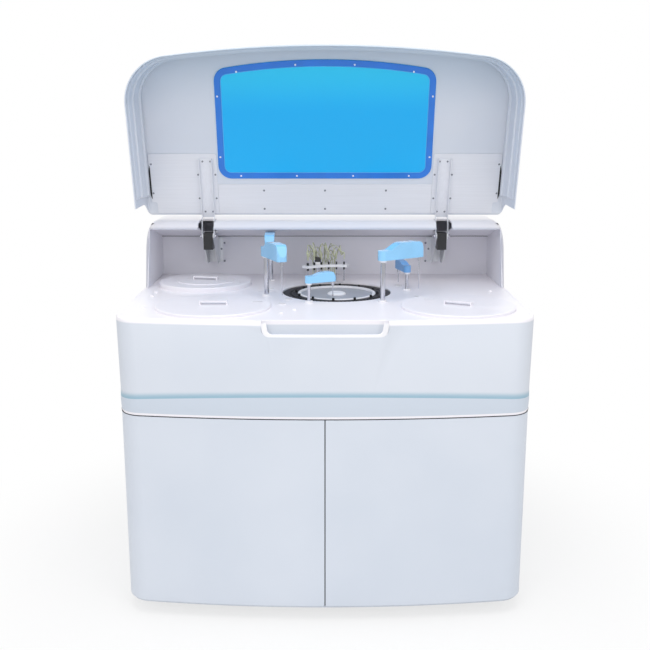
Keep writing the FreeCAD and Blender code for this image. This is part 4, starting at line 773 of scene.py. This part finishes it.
@dataclass
class Dresser:
    """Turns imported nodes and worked-out surfaces into finished pieces."""

    shelf: Shelf = field(default_factory=Shelf)
    merge: float = 1e-6
    weld: float = 1e-7
    flat: float = 0.6

    def finish_of(self, node: str) -> Material:
        """Return the material of a node, by its own name or by its slot."""
        return self.shelf.take(NODE_FINISH.get(node, SLOT_FINISH[SLOT_OF[node]]))

    def paint(self, node: str) -> Object:
        """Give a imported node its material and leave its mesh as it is.

        Args:
            node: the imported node.

        Returns:
            Its object.
        """
        thing = frame["nodes"][node]
        thing.data.materials.clear()
        thing.data.materials.append(self.finish_of(node))
        log.info("painted %s", node)
        return thing

    def finished(self, mesh: Mesh, material: Material, angle: float) -> Object:
        """Add a mesh to the scene, shaded smooth up to an angle.

        Args:
            mesh: the mesh, whose name the piece takes.
            material: its only material.
            angle: the least turn of an edge that stays sharp, in degrees.

        Returns:
            The piece.
        """
        mesh.shade_smooth()
        mesh.set_sharp_from_angle(angle=math.radians(angle))
        mesh.materials.clear()
        mesh.materials.append(material)
        piece = add_object(mesh.name, mesh)
        log.info("made %s", piece.name)
        return piece

    def soften(self, node: str, width: float, segments: int = 3, angle: float = 28.0) -> Object:
        """Stand a merged copy with softened edges in a node's place.

        Args:
            node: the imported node.
            width: how wide its edges are rounded, in metres.
            segments: how many faces each rounded edge has.
            angle: the least turn of an edge that is rounded, in degrees.

        Returns:
            The finished piece.
        """
        mesh = frame["nodes"][node].data.copy()
        work = bmesh.new()
        work.from_mesh(mesh)
        bmesh.ops.remove_doubles(work, verts=work.verts, dist=self.merge)
        bmesh.ops.dissolve_limit(
            work, angle_limit=math.radians(self.flat), verts=work.verts, edges=work.edges
        )
        work.to_mesh(mesh)
        work.free()
        mesh.name = f"{node}_skin"
        piece = self.finished(mesh, self.finish_of(node), angle)
        bevel = piece.modifiers.new("edge", "BEVEL")
        bevel.width = width
        bevel.segments = segments
        bevel.limit_method = "ANGLE"
        bevel.angle_limit = math.radians(angle)
        bevel.harden_normals = True
        bevel.use_clamp_overlap = True
        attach(piece, BODY_OF[node])
        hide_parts(node)
        return piece

    def soften_all(self, edges: dict[str, float]) -> None:
        """Soften each named node by its own width, in metres."""
        for node, width in edges.items():
            self.soften(node, width)

    def surface(self, name: str, grids: Sequence[Array], finish: Finish, slot: str,
                closed: bool = False, angle: float = 35.0) -> Object:
        """Turn grids of points into one closed mesh.

        Each grid is path steps by profile points by three, and its profile is a closed loop. The
        faces join neighbours in both directions; an open path is capped at both ends.

        Args:
            name: the piece's name.
            grids: the surfaces, each a whole array.
            finish: what it is made of.
            slot: the record's material slot; not used.
            closed: whether the path meets its own start.
            angle: the least turn of an edge that stays sharp, in degrees.

        Returns:
            The finished piece, not yet riding on a body.
        """
        corners, faces, base = [], [], 0
        for grid in grids:
            rows, sides = grid.shape[:2]
            index = base + np.arange(rows * sides).reshape(rows, sides)
            onward = np.roll(index, -1, axis=0) if closed else index[1:]
            here = index if closed else index[:-1]
            quads = np.stack([here, np.roll(here, -1, 1), np.roll(onward, -1, 1), onward], -1)
            faces += quads.reshape(-1, 4).tolist()
            if not closed:
                faces += [index[0, ::-1].tolist(), index[-1].tolist()]
            corners.append(grid.reshape(-1, 3))
            base += rows * sides
        mesh = bpy.data.meshes.new(name)
        mesh.from_pydata(np.concatenate(corners).tolist(), [], faces)
        work = bmesh.new()
        work.from_mesh(mesh)
        bmesh.ops.remove_doubles(work, verts=work.verts, dist=self.weld)
        bmesh.ops.recalc_face_normals(work, faces=work.faces)
        work.to_mesh(mesh)
        work.free()
        return self.finished(mesh, self.shelf.take(finish), angle)

    def lathe(self, name: str, profile: Profile, centre: Sequence[float], finish: Finish,
              slot: str, steps: int = 96) -> Object:
        """Turn a closed profile of radius and height about an upright axis, as turned does.

        Args:
            name: the piece's name.
            profile: radius and height of each point.
            centre: the origin of the profile, on the axis.
            finish: what it is made of.
            slot: the record's material slot.
            steps: places round the circle.

        Returns:
            The finished piece, not yet riding on a body.
        """
        radius, height = np.array(profile).T
        grid = turned(centre, radius, height, steps)
        return self.surface(name, [grid], finish, slot, closed=True)


@dataclass
class Studio:
    """Camera, floor, light and background."""

    lens: float = 50.0
    sensor: float = 36.0
    pitch: float = 12.4
    stand: Place = (0.0, -2.854, 1.445)
    aim: Place = (0.0, 0.0, 1.0)
    floor_size: float = 60.0
    floor_tone: Colour = (0.9, 0.9, 0.9)
    floor_roughness: float = 0.9
    near: float = 0.75
    far: float = 1.5
    least_glow: float = 0.7
    white: Colour = (1.0, 1.0, 1.0)
    fill_tint: Colour = (0.985, 0.99, 1.0)
    fill_strength: float = 0.68
    lamps: tuple[tuple[str, Place, float, float], ...] = (
        ("key", (-1.4, -3.8, 2.6), 2.4, 24),
        ("fill", (2.2, -3.4, 1.8), 2.4, 15),
        ("top", (0.0, -0.9, 4.0), 2.6, 57),
    )

    def camera(self) -> None:
        """Place the camera as the photograph's view was solved."""
        data = bpy.data.cameras.new("camera")
        data.lens = self.lens
        data.sensor_width = self.sensor
        camera = add_object("camera", data)
        camera.location = self.stand
        camera.rotation_euler = (math.radians(90 - self.pitch), 0, 0)
        bpy.context.scene.camera = camera

    def lamp(self, name: str, place: Sequence[float], size: float, power: float) -> None:
        """Hang one square soft light that looks at the machine's middle.

        Args:
            name: the light's name.
            place: where it hangs.
            size: its side, in metres.
            power: its power, in watts.
        """
        data = bpy.data.lights.new(name, "AREA")
        data.size = size
        data.energy = power
        lamp = add_object(name, data)
        lamp.location = place
        look = Vector(self.aim) - Vector(place)
        lamp.rotation_euler = look.to_track_quat("-Z", "Y").to_euler()

    def floor(self) -> None:
        """Lay a pale floor that keeps the shadow near the machine and is plain white farther out.

        The share of its own light rises smoothly with the distance from the middle.
        """
        half = self.floor_size / 2
        mesh = bpy.data.meshes.new("floor")
        x, y = rectangle((-half, -half), (half, half))
        mesh.from_pydata(points(x, y, 0.0).tolist(), [], [(0, 1, 2, 3)])
        floor = add_object("floor", mesh)
        graph = Graph("floor_white")
        graph.set(Base_Color=self.floor_tone, Roughness=self.floor_roughness)
        ray = graph.node("ShaderNodeLightPath", {}, {})
        glow = graph.node("ShaderNodeEmission", {}, {"Color": self.white, "Strength": 1.0})
        length = graph.node("ShaderNodeVectorMath", {"operation": "LENGTH"}, {0: graph.place})
        distance = Signal(graph, length.outputs["Value"])
        share = distance.rise(self.near, self.far) * (1 - self.least_glow) + self.least_glow
        lit = Signal(graph, ray.outputs["Is Camera Ray"]) * share
        inputs = {0: lit, 1: graph.shader.outputs[0], 2: glow.outputs[0]}
        mixed = graph.node("ShaderNodeMixShader", {}, inputs)
        graph.feed(graph.tree.nodes["Material Output"].inputs["Surface"], mixed.outputs[0])
        mesh.materials.append(graph.material)

    def sky(self) -> None:
        """Fill the shadows evenly, with plain white behind the machine and in what mirrors it."""
        world = bpy.data.worlds.new("studio")
        world.use_nodes = True
        bpy.context.scene.world = world
        nodes = Nodes(world.node_tree)
        fill = nodes.tree.nodes["Background"]
        nodes.feed(fill.inputs["Color"], self.fill_tint)
        nodes.feed(fill.inputs["Strength"], self.fill_strength)
        white = nodes.node("ShaderNodeBackground", {}, {"Color": self.white})
        ray = nodes.node("ShaderNodeLightPath", {}, {})
        kinds = ("Is Camera Ray", "Is Glossy Ray", "Is Transmission Ray")
        camera, glossy, through = (Signal(nodes, ray.outputs[kind]) for kind in kinds)
        seen = camera.larger(glossy.larger(through))
        inputs = {0: seen, 1: fill.outputs[0], 2: white.outputs[0]}
        mixed = nodes.node("ShaderNodeMixShader", {}, inputs)
        nodes.feed(nodes.tree.nodes["World Output"].inputs["Surface"], mixed.outputs[0])

    def build(self) -> None:
        """Set up the whole studio."""
        self.camera()
        self.floor()
        self.sky()
        for lamp in self.lamps:
            self.lamp(*lamp)
        bpy.context.scene.view_settings.view_transform = "Standard"


@dataclass
class Housing:
    """The cabinet, console, deck and hood."""

    dresser: Dresser
    edges: dict[str, float] = field(default_factory=lambda: {
        "door_left": 0.0015, "door_right": 0.0015, "side_panel_left": 0.0008,
        "side_panel_right": 0.0008, "rear_panel": 0.0004, "deck": 0.0008,
        "reagent_cover_front": 0.0012, "reagent_cover_rear": 0.0012, "sample_cover": 0.0012,
        "hood_liner": 0.0008, "hinge_brackets": 0.0006, "hinge_spring_boxes": 0.0012,
        "hinge_pins": 0.0006, "levelling_feet": 0.001, "power_inlet": 0.0006,
    })
    bow: float = 3.8
    corner: float = 0.075
    seam_setback: float = 0.017
    lip_setback: float = 0.009
    crease_setback: float = 0.015
    lip_height: float = 0.036
    edge_round: float = 0.012
    recess_half: float = 0.172
    recess_lean: float = 0.004
    recess_drop: float = 0.045
    recess_corner: float = 0.022
    recess_open: float = 0.005
    lip_shift: float = 0.0005
    lip_half: float = 0.0080
    lip_rise: float = 0.0022
    lip_sunk: float = -0.35
    # insets, rear end and end gap of the strips of painted shade in the seams
    shadow_inset: tuple[float, ...] = (-0.0010, -0.0018, 0.0004, 0.0004, 0.012, 0.012)
    shadow_rear: float = -0.22
    shadow_end: float = 0.002
    wall_y: float = 0.4015
    gap_shadow_half: float = 0.588
    gap_shadow_z: float = 1.0585
    screw: float = 0.0036
    screw_profile: Profile = ((0, 0), (0.7, 0), (1, 0.0007), (1, 0.004), (0, 0.004))
    tab_screws: Profile = ((0.364, 1.033), (0.375, 1.012), (0.365, 0.968), (0.423, 0.968))

    def setback(self, height: Array) -> Array:
        """Return how far the console's front lies behind its foremost line.

        It follows straight runs from the seam to the lip, the crease and the top edge.

        Args:
            height: heights over the seam.

        Returns:
            The setbacks.
        """
        tall = DECK_Z - SEAM_Z
        levels = [0, self.lip_height, CREASE_Z - SEAM_Z, tall - self.edge_round, tall]
        setbacks = [self.seam_setback, self.lip_setback, self.crease_setback, 0, 0]
        return np.interp(height, levels, setbacks)

    def front(self, x: Array, z: Array) -> Array:
        """Return the Y of the console's front: the foremost line, the bow and the setback."""
        rise = self.bow - np.sqrt(self.bow ** 2 - x ** 2)
        return FRONT_Y + rise + self.setback(z - SEAM_Z)

    def recess_outline(self) -> Array:
        """Trace the recess, down its right side, along the bottom and up again.

        The sides lean a little and quarter circles join them to the bottom. The right half is
        worked out and mirrored.

        Returns:
            X and Z, places by two.
        """
        low = DECK_Z - self.recess_drop
        half = self.recess_half - self.recess_lean
        corner_x, corner_z = half - self.recess_corner, low + self.recess_corner
        side_z = np.linspace(DECK_Z - self.recess_open, corner_z, 8)[:-1]
        side_x = np.interp(side_z, [corner_z, DECK_Z], [half, self.recess_half])
        turn = np.linspace(0, math.pi / 2, 14)
        bottom = np.linspace(corner_x, 0, 30)[1:]
        x = np.concatenate([side_x, corner_x + self.recess_corner * np.cos(turn), bottom])
        z = np.concatenate([
            side_z, low + self.recess_corner * (1 - np.sin(turn)), np.full_like(bottom, low)
        ])
        right = np.stack([x, z], -1)
        return np.concatenate([right, right[-2::-1] * (-1, 1)])

    def recess_lip(self) -> None:
        """Lay the soft rounded lip round the finger recess, whiter than the panel as a painted
        highlight.

        The profile is half an ellipse that stands on the console's front. It is carried square to
        the recess's outline, whose tangent is the difference of its neighbours.
        """
        path = self.recess_outline()
        tangent = unit(np.gradient(path, axis=0))
        angle = np.linspace(0, 2 * math.pi, 16, endpoint=False)
        across = self.lip_shift + self.lip_half * np.cos(angle)
        lift = np.maximum(np.sin(angle), self.lip_sunk) * self.lip_rise
        x = path[:, :1] - tangent[:, 1:] * across
        z = path[:, 1:] + tangent[:, :1] * across
        grid = points(x, self.front(x, z) - lift, z)
        # the lip's whiter finish is a painted highlight
        lip = self.dresser.surface("recess_lip", [grid], LIP_HIGHLIGHT, "painted_panel")
        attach(lip, "housing")

    def seam_shadow_strips(self) -> None:
        """Lay dark strips of painted shade in the gap over the doors and behind the gap between them.

        The upper one is a thin upright band carried along the bowed plan, and it stands a little
        proud of the seam. The other is a flat bar.
        """
        inset = np.array(self.shadow_inset)
        foot, over, under = DOOR_TOP_Z + 0.0004, SEAM_Z + 0.0030, SEAM_Z - 0.0002
        face = FRONT_Y + self.seam_setback
        plan = bowed_path(
            HALF_WIDTH - inset, face + inset, self.bow - inset, self.corner - inset,
            np.full(len(inset), self.shadow_rear),
        )
        # a black band standing in for the shade in the seam over the doors
        grid = raised(plan, np.array([foot, over, over, under, under, foot]))
        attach(self.dresser.surface("seam_shadow_strip", [grid], RUBBER, "rubber"), "housing")
        # a flat black bar standing in for the shade in the gap between the doors
        across, depth = rectangle((-0.0014, 0.0012), (0.0010, 0.018))
        z = np.linspace(DOOR_LOW_Z + self.shadow_end, DOOR_TOP_Z - self.shadow_end, 3)[:, None]
        grid = points(across, face + depth, z)
        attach(self.dresser.surface("door_gap_shadow", [grid], RUBBER, "rubber"), "door_l")

    def wall_trims(self) -> None:
        """Lay a dark bar of painted shade along the top of the back wall, and the screws of the hinge
        tabs.

        The joint is a flat bar. Each screw's radius and depth follow a short profile that closes
        on its own axis; it is turned upright, and then Y and Z change places.
        """
        # a dark bar standing in for the shade in the gap at the wall's top
        depth, height = rectangle((0.0, -0.0012), (0.004, 0.0012))
        x = np.linspace(-self.gap_shadow_half, self.gap_shadow_half, 3)[:, None]
        grid = points(x, self.wall_y + depth, self.gap_shadow_z + height)
        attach(self.dresser.surface("wall_gap_shadow", [grid], RUBBER, "rubber"), "housing")
        radius, depth = np.array(self.screw_profile).T
        grids = [
            turned((side * across, z, self.wall_y), radius * self.screw, depth)[..., [0, 2, 1]]
            for side in (-1, 1) for across, z in self.tab_screws
        ]
        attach(self.dresser.surface("tab_screws", grids, SCREW, "steel", closed=True), "housing")

    def build(self) -> None:
        """Soften each outer piece, then add the lip, the painted shade in the seams and the back
        wall's trims.
        """
        self.dresser.soften_all(self.edges)
        self.dresser.soften("console_shell", 0.003, angle=38.0)
        self.dresser.paint("hood_shell")
        self.recess_lip()
        self.seam_shadow_strips()
        self.wall_trims()


@dataclass
class Lid:
    """The raised lid with its window, plates and arms."""

    dresser: Dresser
    edges: dict[str, float] = field(default_factory=lambda: {
        "lid_stiffeners": 0.0006, "lid_arms": 0.0007, "lid_window": 0.0005, "lid_screws": 0.0003,
    })
    place: LidFrame = field(default_factory=LidFrame)
    bow: float = 3.8
    corner: float = 0.150
    wall: float = 0.004
    lean: float = 0.034
    border: float = 0.020
    arch: float = 2.030
    window_corner: float = 0.044
    wall_gap: float = 0.0003
    face_steps: tuple[float, ...] = (0, 0.02, 0.12, 0.13, 0.16, 0.17)
    wall_ends: tuple[float, ...] = (-0.162, -0.135, -0.105)
    knee: float = -0.3
    short: float = 0.02
    soft: float = 0.8
    gap_from: float = 0.052
    gap_run: float = 0.116
    gap_in: float = 0.0045
    gap_least: float = 0.0006
    gap_bulge: float = 0.0085
    screw: float = 0.0032
    screw_rise: float = 0.0016
    screw_profile: Profile = ((0, -1), (0.6, -1), (1, -0.5), (1, 0), (0, 0))
    screw_rows: Sequence[tuple[tuple[float, ...], tuple[float, float], float]] = (
        ((0.3856, 0.4117), (-0.0006, 0.177), -0.0025),
        ((0.371, 0.4295), (0.046, 0.130), 0.0),
        ((0.586,), (0.010, 0.112), 0.0),
    )

    def wall_steps(self) -> None:
        """Line the lid's wall with two soft steps.

        A closed profile of inset and height over the rim is carried along the lid's bowed plan;
        the front leans back with height as the shell does.
        """
        low, high = self.place.span("lid_shell")
        depth = high[2] - low[2]
        face = (self.place.span("lid_stiffeners")[0][2] - low[2]) / depth
        share = np.array([
            0.08, 0.94, 0.94, *(face - step for step in self.face_steps),
            0.44, 0.43, 0.40, 0.39, 0.16, 0.15, 0.08,
        ])
        inset = self.wall + self.wall_gap + np.array([
            0, 0, 0.001, 0.001, 0.012, 0.012, 0.0135, 0.0135,
            0.0075, 0.0065, 0.0085, 0.0085, 0.0035, 0.0025, 0.0008, 0.0008,
        ])
        level = low[2] + depth * share
        front = low[1] + inset + share * self.lean
        rear = self.hood_line(level)
        plan = bowed_path(high[0] - inset, front, self.bow - inset, self.corner - inset, rear)
        grid = self.place.opened(raised(plan, level))
        steps = self.dresser.surface("lid_wall_steps", [grid], LID_PAINT_SHADED, "painted_panel", angle=24.0)
        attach(steps, "lid")

    def hood_line(self, level: Array) -> Array:
        """Follow the hood where the lid's side walls end, and stop a little short of it.

        Up to the hood's knee the walls end on a slope, above it on the hood's round nose; both
        are followed by straight runs between three heights.

        Args:
            level: Z from the hinge line, one value per profile point.

        Returns:
            Y from the hinge line.
        """
        low, high = self.place.span("lid_shell")
        heights = [low[2], high[2] * self.knee, high[2]]
        return np.interp(level, heights, self.wall_ends) - self.short

    def window_loop(self, inset: Array) -> Array:
        """Trace the window's outline: straight sides and back, arched front, round corners.

        Args:
            inset: how far it is drawn in, one value per profile point.

        Returns:
            X and Y from the hinge line, in path steps by insets by two.
        """
        low, high = self.place.span("lid_window")
        half, front, rear = high[0] - inset, low[1] + inset, high[1] - inset
        corner = self.window_corner - inset
        plan = bowed_path(half, front, self.arch - inset, corner, rear - corner)
        angle = np.linspace(0, math.pi / 2, 16)[1:-1, None]
        x = half - corner + corner * np.cos(angle)
        y = rear - corner + corner * np.sin(angle)
        back_right = np.stack([x, y], -1)[::-1]
        back_left = back_right[::-1] * (-1, 1)
        ends = np.stack([half - corner, rear], -1)[None]
        return np.concatenate([plan, back_left, ends * (-1, 1), ends, back_right])

    def window_border(self) -> None:
        """Lay the border under the window's edge, darker blue as painted shade, with a lighter line
        of painted highlight along its inside.

        A flat profile with soft edges is carried round the window's outline.
        """
        level = self.place.span("lid_window")[0][2]
        bands = (
            # the border's darker blue is painted shade
            ("window_border", BORDER_SHADE, 0.0004, self.border, 0.0012),
            # the line inside the border is a painted highlight
            ("window_border_highlight", BORDER_HIGHLIGHT, self.border + 0.0003, self.border + 0.0026, 0.0007),
        )
        for name, finish, start, end, thick in bands:
            soft = thick * self.soft
            inset = np.array([start, start, start + soft, end - soft, end, end])
            drop = np.array([0.00002, thick - soft, thick, thick, thick - soft, 0.00002])
            grid = self.place.opened(raised(self.window_loop(inset), level - drop))
            ring = self.dresser.surface(name, [grid], finish, "window_blue", closed=True)
            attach(ring, "lid")

    def plate_gap_shadows(self) -> None:
        """Lay a dark bulging strip of painted shade along each side plate's outer edge.

        Its width follows half a sine wave along its length, drawn out by a power, and it is a
        thin flat solid.
        """
        low, high = self.place.span("lid_stiffeners")
        share = np.linspace(0, 1, 24)[:, None]
        y = high[1] - self.gap_from - share * self.gap_run
        width = self.gap_least + self.gap_bulge * np.sin(math.pi * share) ** 0.7
        across, height = rectangle((0.0, -0.0008), (1.0, 0.0016))
        grids = [
            self.place.opened(points(
                side * (high[0] - self.gap_in + width * across), y, low[2] + height
            ))
            for side in (-1, 1)
        ]
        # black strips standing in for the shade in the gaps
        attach(self.dresser.surface("plate_gap_shadows", grids, BLACK, "black_plastic"), "lid")

    def screws(self) -> None:
        """Set the screws of the arms, their flanks and the side plates, each a turned head.

        The head's radius and drop follow a short profile that closes on the axis.
        """
        floor = self.place.span("lid_stiffeners")[0][2]
        radius, drop = np.array(self.screw_profile).T * [[self.screw], [self.screw_rise]]
        grids = [
            self.place.opened(turned(
                (side * x, y - self.place.hinge_y, floor + under), radius, drop
            ))
            for side in (-1, 1) for xs, ys, under in self.screw_rows for x in xs for y in ys
        ]
        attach(self.dresser.surface("plate_screws", grids, SCREW, "steel", closed=True), "lid")

    def build(self) -> None:
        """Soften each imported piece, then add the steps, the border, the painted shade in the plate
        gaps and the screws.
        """
        self.dresser.soften_all(self.edges)
        self.dresser.soften("lid_shell", 0.0018, angle=38.0)
        self.wall_steps()
        self.window_border()
        self.plate_gap_shadows()
        self.screws()


@dataclass
class Works:
    """The carousel, arms and wash station."""

    dresser: Dresser
    edge: float = 0.0005
    soft_edge: float = 0.006
    first_angle: float = 79.68
    pitch: float = 10.0
    circle: float = 0.150
    nozzle_rows: tuple[float, float] = (0.1476, 0.1524)
    nozzle_count: int = 12
    strand: float = 0.0014
    strand_count: int = 24
    sleeve: tuple[float, float] = (0.0013, 0.0027)
    sleeve_height: float = 0.009
    sleeve_gap: float = 0.0002
    head_plate: float = 0.008
    mixer_collar: float = 0.0095
    probe_collar: float = 0.0110
    collar_wall: float = 0.003
    collar_edge: float = 0.0008
    ring_sunk: float = 0.004
    ring_profile: Profile = (
        (0.1165, -0.0035), (0.1165, 0.0015), (0.1178, 0.0028),
        (0.1250, 0.0028), (0.1263, 0.0015), (0.1263, -0.0035),
    )
    cap_profile: Profile = (
        (0, 0), (0.030, 0), (0.030, 0.003), (0.027, 0.006), (0.021, 0.0075), (0.018, 0.0060),
        (0, 0.0062),
    )
    clamp_outline: tuple[float, ...] = (0.0135, 0.010, 0.003)
    clamp_place: tuple[float, float] = (-0.028, 0.012)
    clamp_levels: tuple[float, ...] = (0.0, 0.013, 0.015)
    clamp_shrink: tuple[float, ...] = (1.0, 1.0, 0.88)
    pivots: dict[str, tuple[float, float]] = field(default_factory=lambda: {
        "reagent_arm_front": (-0.186, -0.025), "reagent_arm_rear": (-0.188, 0.262),
        "sample_arm": (0.177, -0.127), "mixer_front": (-0.049, -0.138),
        "mixer_rear": (0.269, 0.073),
    })

    def trims(self) -> None:
        """Turn the white ring round the grey disc and the pale cap of the hub."""
        x, y = middle("reaction_hub")
        place = (x, y, DECK_Z - self.ring_sunk)
        ring = self.dresser.lathe("reaction_trim", self.ring_profile, place, WHITE, "white_plastic")
        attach(ring, "reactions")
        place = (x, y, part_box("reaction_hub")[0][2])
        hub = self.dresser.lathe("hub_cap", self.cap_profile, place, WHITE, "white_plastic")
        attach(hub, "reactions")
        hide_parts("reaction_hub")

    def nozzles(self, number: Array) -> tuple[Array, Array]:
        """Place the wash nozzles by their numbers.

        Two stand on each spoke of the carousel, and the spokes turn by equal angles: X is the
        hub's plus the radius times the cosine of the angle, and Y the same with the sine.

        Args:
            number: the nozzles' numbers, from 0.

        Returns:
            Their X and their Y.
        """
        x, y = middle("reaction_hub")
        angle = np.radians(self.first_angle + self.pitch * (number // 2))
        radius = np.where(number % 2, *self.nozzle_rows)
        return x + radius * np.cos(angle), y + radius * np.sin(angle)

    def strands(self) -> None:
        """Run two clear tubes from each nozzle over to the deck behind.

        Each is a smooth curve through its knots with a circle carried along it. So that the tubes
        part a little, the crowns' heights follow a cosine and a saw-tooth of the tube's number,
        and their sway to the side follows a sine of it.
        """
        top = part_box("wash_nozzles")[1][2]
        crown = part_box("wash_tubing")[1][2] - 0.004
        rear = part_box("wash_tubing")[1][1] - self.strand
        number = np.arange(self.strand_count)
        start_x, start_y = self.nozzles(number % self.nozzle_count)
        sway = np.sin(number * 2.3) + np.where(number < self.nozzle_count, 0.6, -1.4)
        high = crown - 0.012 * (1 + np.cos(number * 1.7)) - 0.004 * number % 0.02
        foot_x = start_x * 0.55 - 0.006 + 0.004 * sway
        foot_y = rear - 0.002
        knots = np.stack([
            points(start_x, start_y, top - 0.010),
            points(start_x, start_y, top + 0.012),
            points(start_x * 0.92 - 0.004, start_y + 0.012, high - 0.018),
            points(start_x * 0.8 - 0.008 + 0.006 * sway, start_y + 0.040, high),
            points(foot_x + 0.006 * sway, rear - 0.022, high - 0.034),
            points(foot_x, foot_y, DECK_Z + 0.060),
            points(foot_x, foot_y, DECK_Z + 0.004),
        ], 1)
        grids = [pipe_rings(smooth_path(line, 60), self.strand) for line in knots]
        tubes = self.dresser.surface("wash_strands", grids, TUBING, "tubing")
        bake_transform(tubes)
        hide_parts("wash_tubing")

    def collars(self) -> None:
        """Slip two short dark sleeves on each nozzle, over and under the head's plate."""
        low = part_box("wash_head")[0][2]
        inner, outer = self.sleeve
        radius, height = rectangle((inner, 0.0), (outer, self.sleeve_height))
        over = low + self.head_plate + self.sleeve_gap
        under = low - self.sleeve_height - self.sleeve_gap
        places = np.stack(self.nozzles(np.arange(self.nozzle_count)), -1)
        grids = [
            turned((x, y, base), radius, height, 12) for base in (over, under) for x, y in places
        ]
        sleeves = self.dresser.surface("nozzle_sleeves", grids, BLACK, "black_plastic", closed=True)
        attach(sleeves, "washer")

    def clamp(self) -> None:
        """Sit the black clamp block on the wash head: a round-cornered outline raised in layers."""
        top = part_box("wash_head")[1][2]
        shrink = np.array(self.clamp_shrink)[:, None, None]
        level = np.array(self.clamp_levels)[:, None]
        place = np.add(middle("wash_head"), self.clamp_place)
        grid = raised(round_box_loop(*self.clamp_outline) * shrink + place, top + level)
        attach(self.dresser.surface("wash_clamp", [grid], BLACK, "black_plastic"), "washer")

    def sleeves(self) -> None:
        """Turn the white collar under each arm's boss, round its shaft."""
        for arm, (x, y) in self.pivots.items():
            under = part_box(f"{arm}_head")[0][2]
            radius = self.mixer_collar if arm.startswith("mixer") else self.probe_collar
            bore, foot, top = radius - self.collar_wall, -0.006, 0.0015
            profile = ((bore, foot), (radius - self.collar_edge, foot),
                       (radius, foot + 0.001), (radius, top), (bore, top))
            place = (x, y, under)
            collar = self.dresser.lathe(f"{arm}_collar", profile, place, WHITE, "white_plastic", 48)
            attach(collar, BODY_OF[f"{arm}_head"])

    def build(self) -> None:
        """Soften each working piece, then add the trims, tubes, sleeves, clamp and collars."""
        shown = [n for n in frame["nodes"] if n.endswith(("_head", "_shaft_and_tip"))]
        shown += ["reaction_plate", "cuvette_ring", "shaft_bushes", "wash_wells",
                  "wash_nozzles", "wash_post_and_sockets"]
        for node in shown:
            blue = SLOT_OF[node] == "arm_blue"
            self.dresser.soften(node, self.soft_edge if blue else self.edge, 4 if blue else 2)
        self.trims()
        self.strands()
        self.collars()
        self.clamp()
        self.sleeves()


def dress_hidden(dresser: Dresser) -> None:
    """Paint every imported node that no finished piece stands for.

    Args:
        dresser: the one that keeps the materials.
    """
    for node, thing in frame["nodes"].items():
        if not thing.hide_render:
            dresser.paint(node)


def main() -> None:
    """Build the studio, then each sub-assembly in order."""
    logging.basicConfig(level=logging.INFO, format="%(message)s")
    Studio().build()
    dresser = Dresser()
    Housing(dresser).build()
    Lid(dresser).build()
    Works(dresser).build()
    dress_hidden(dresser)


if __name__ == "__main__":
    main()
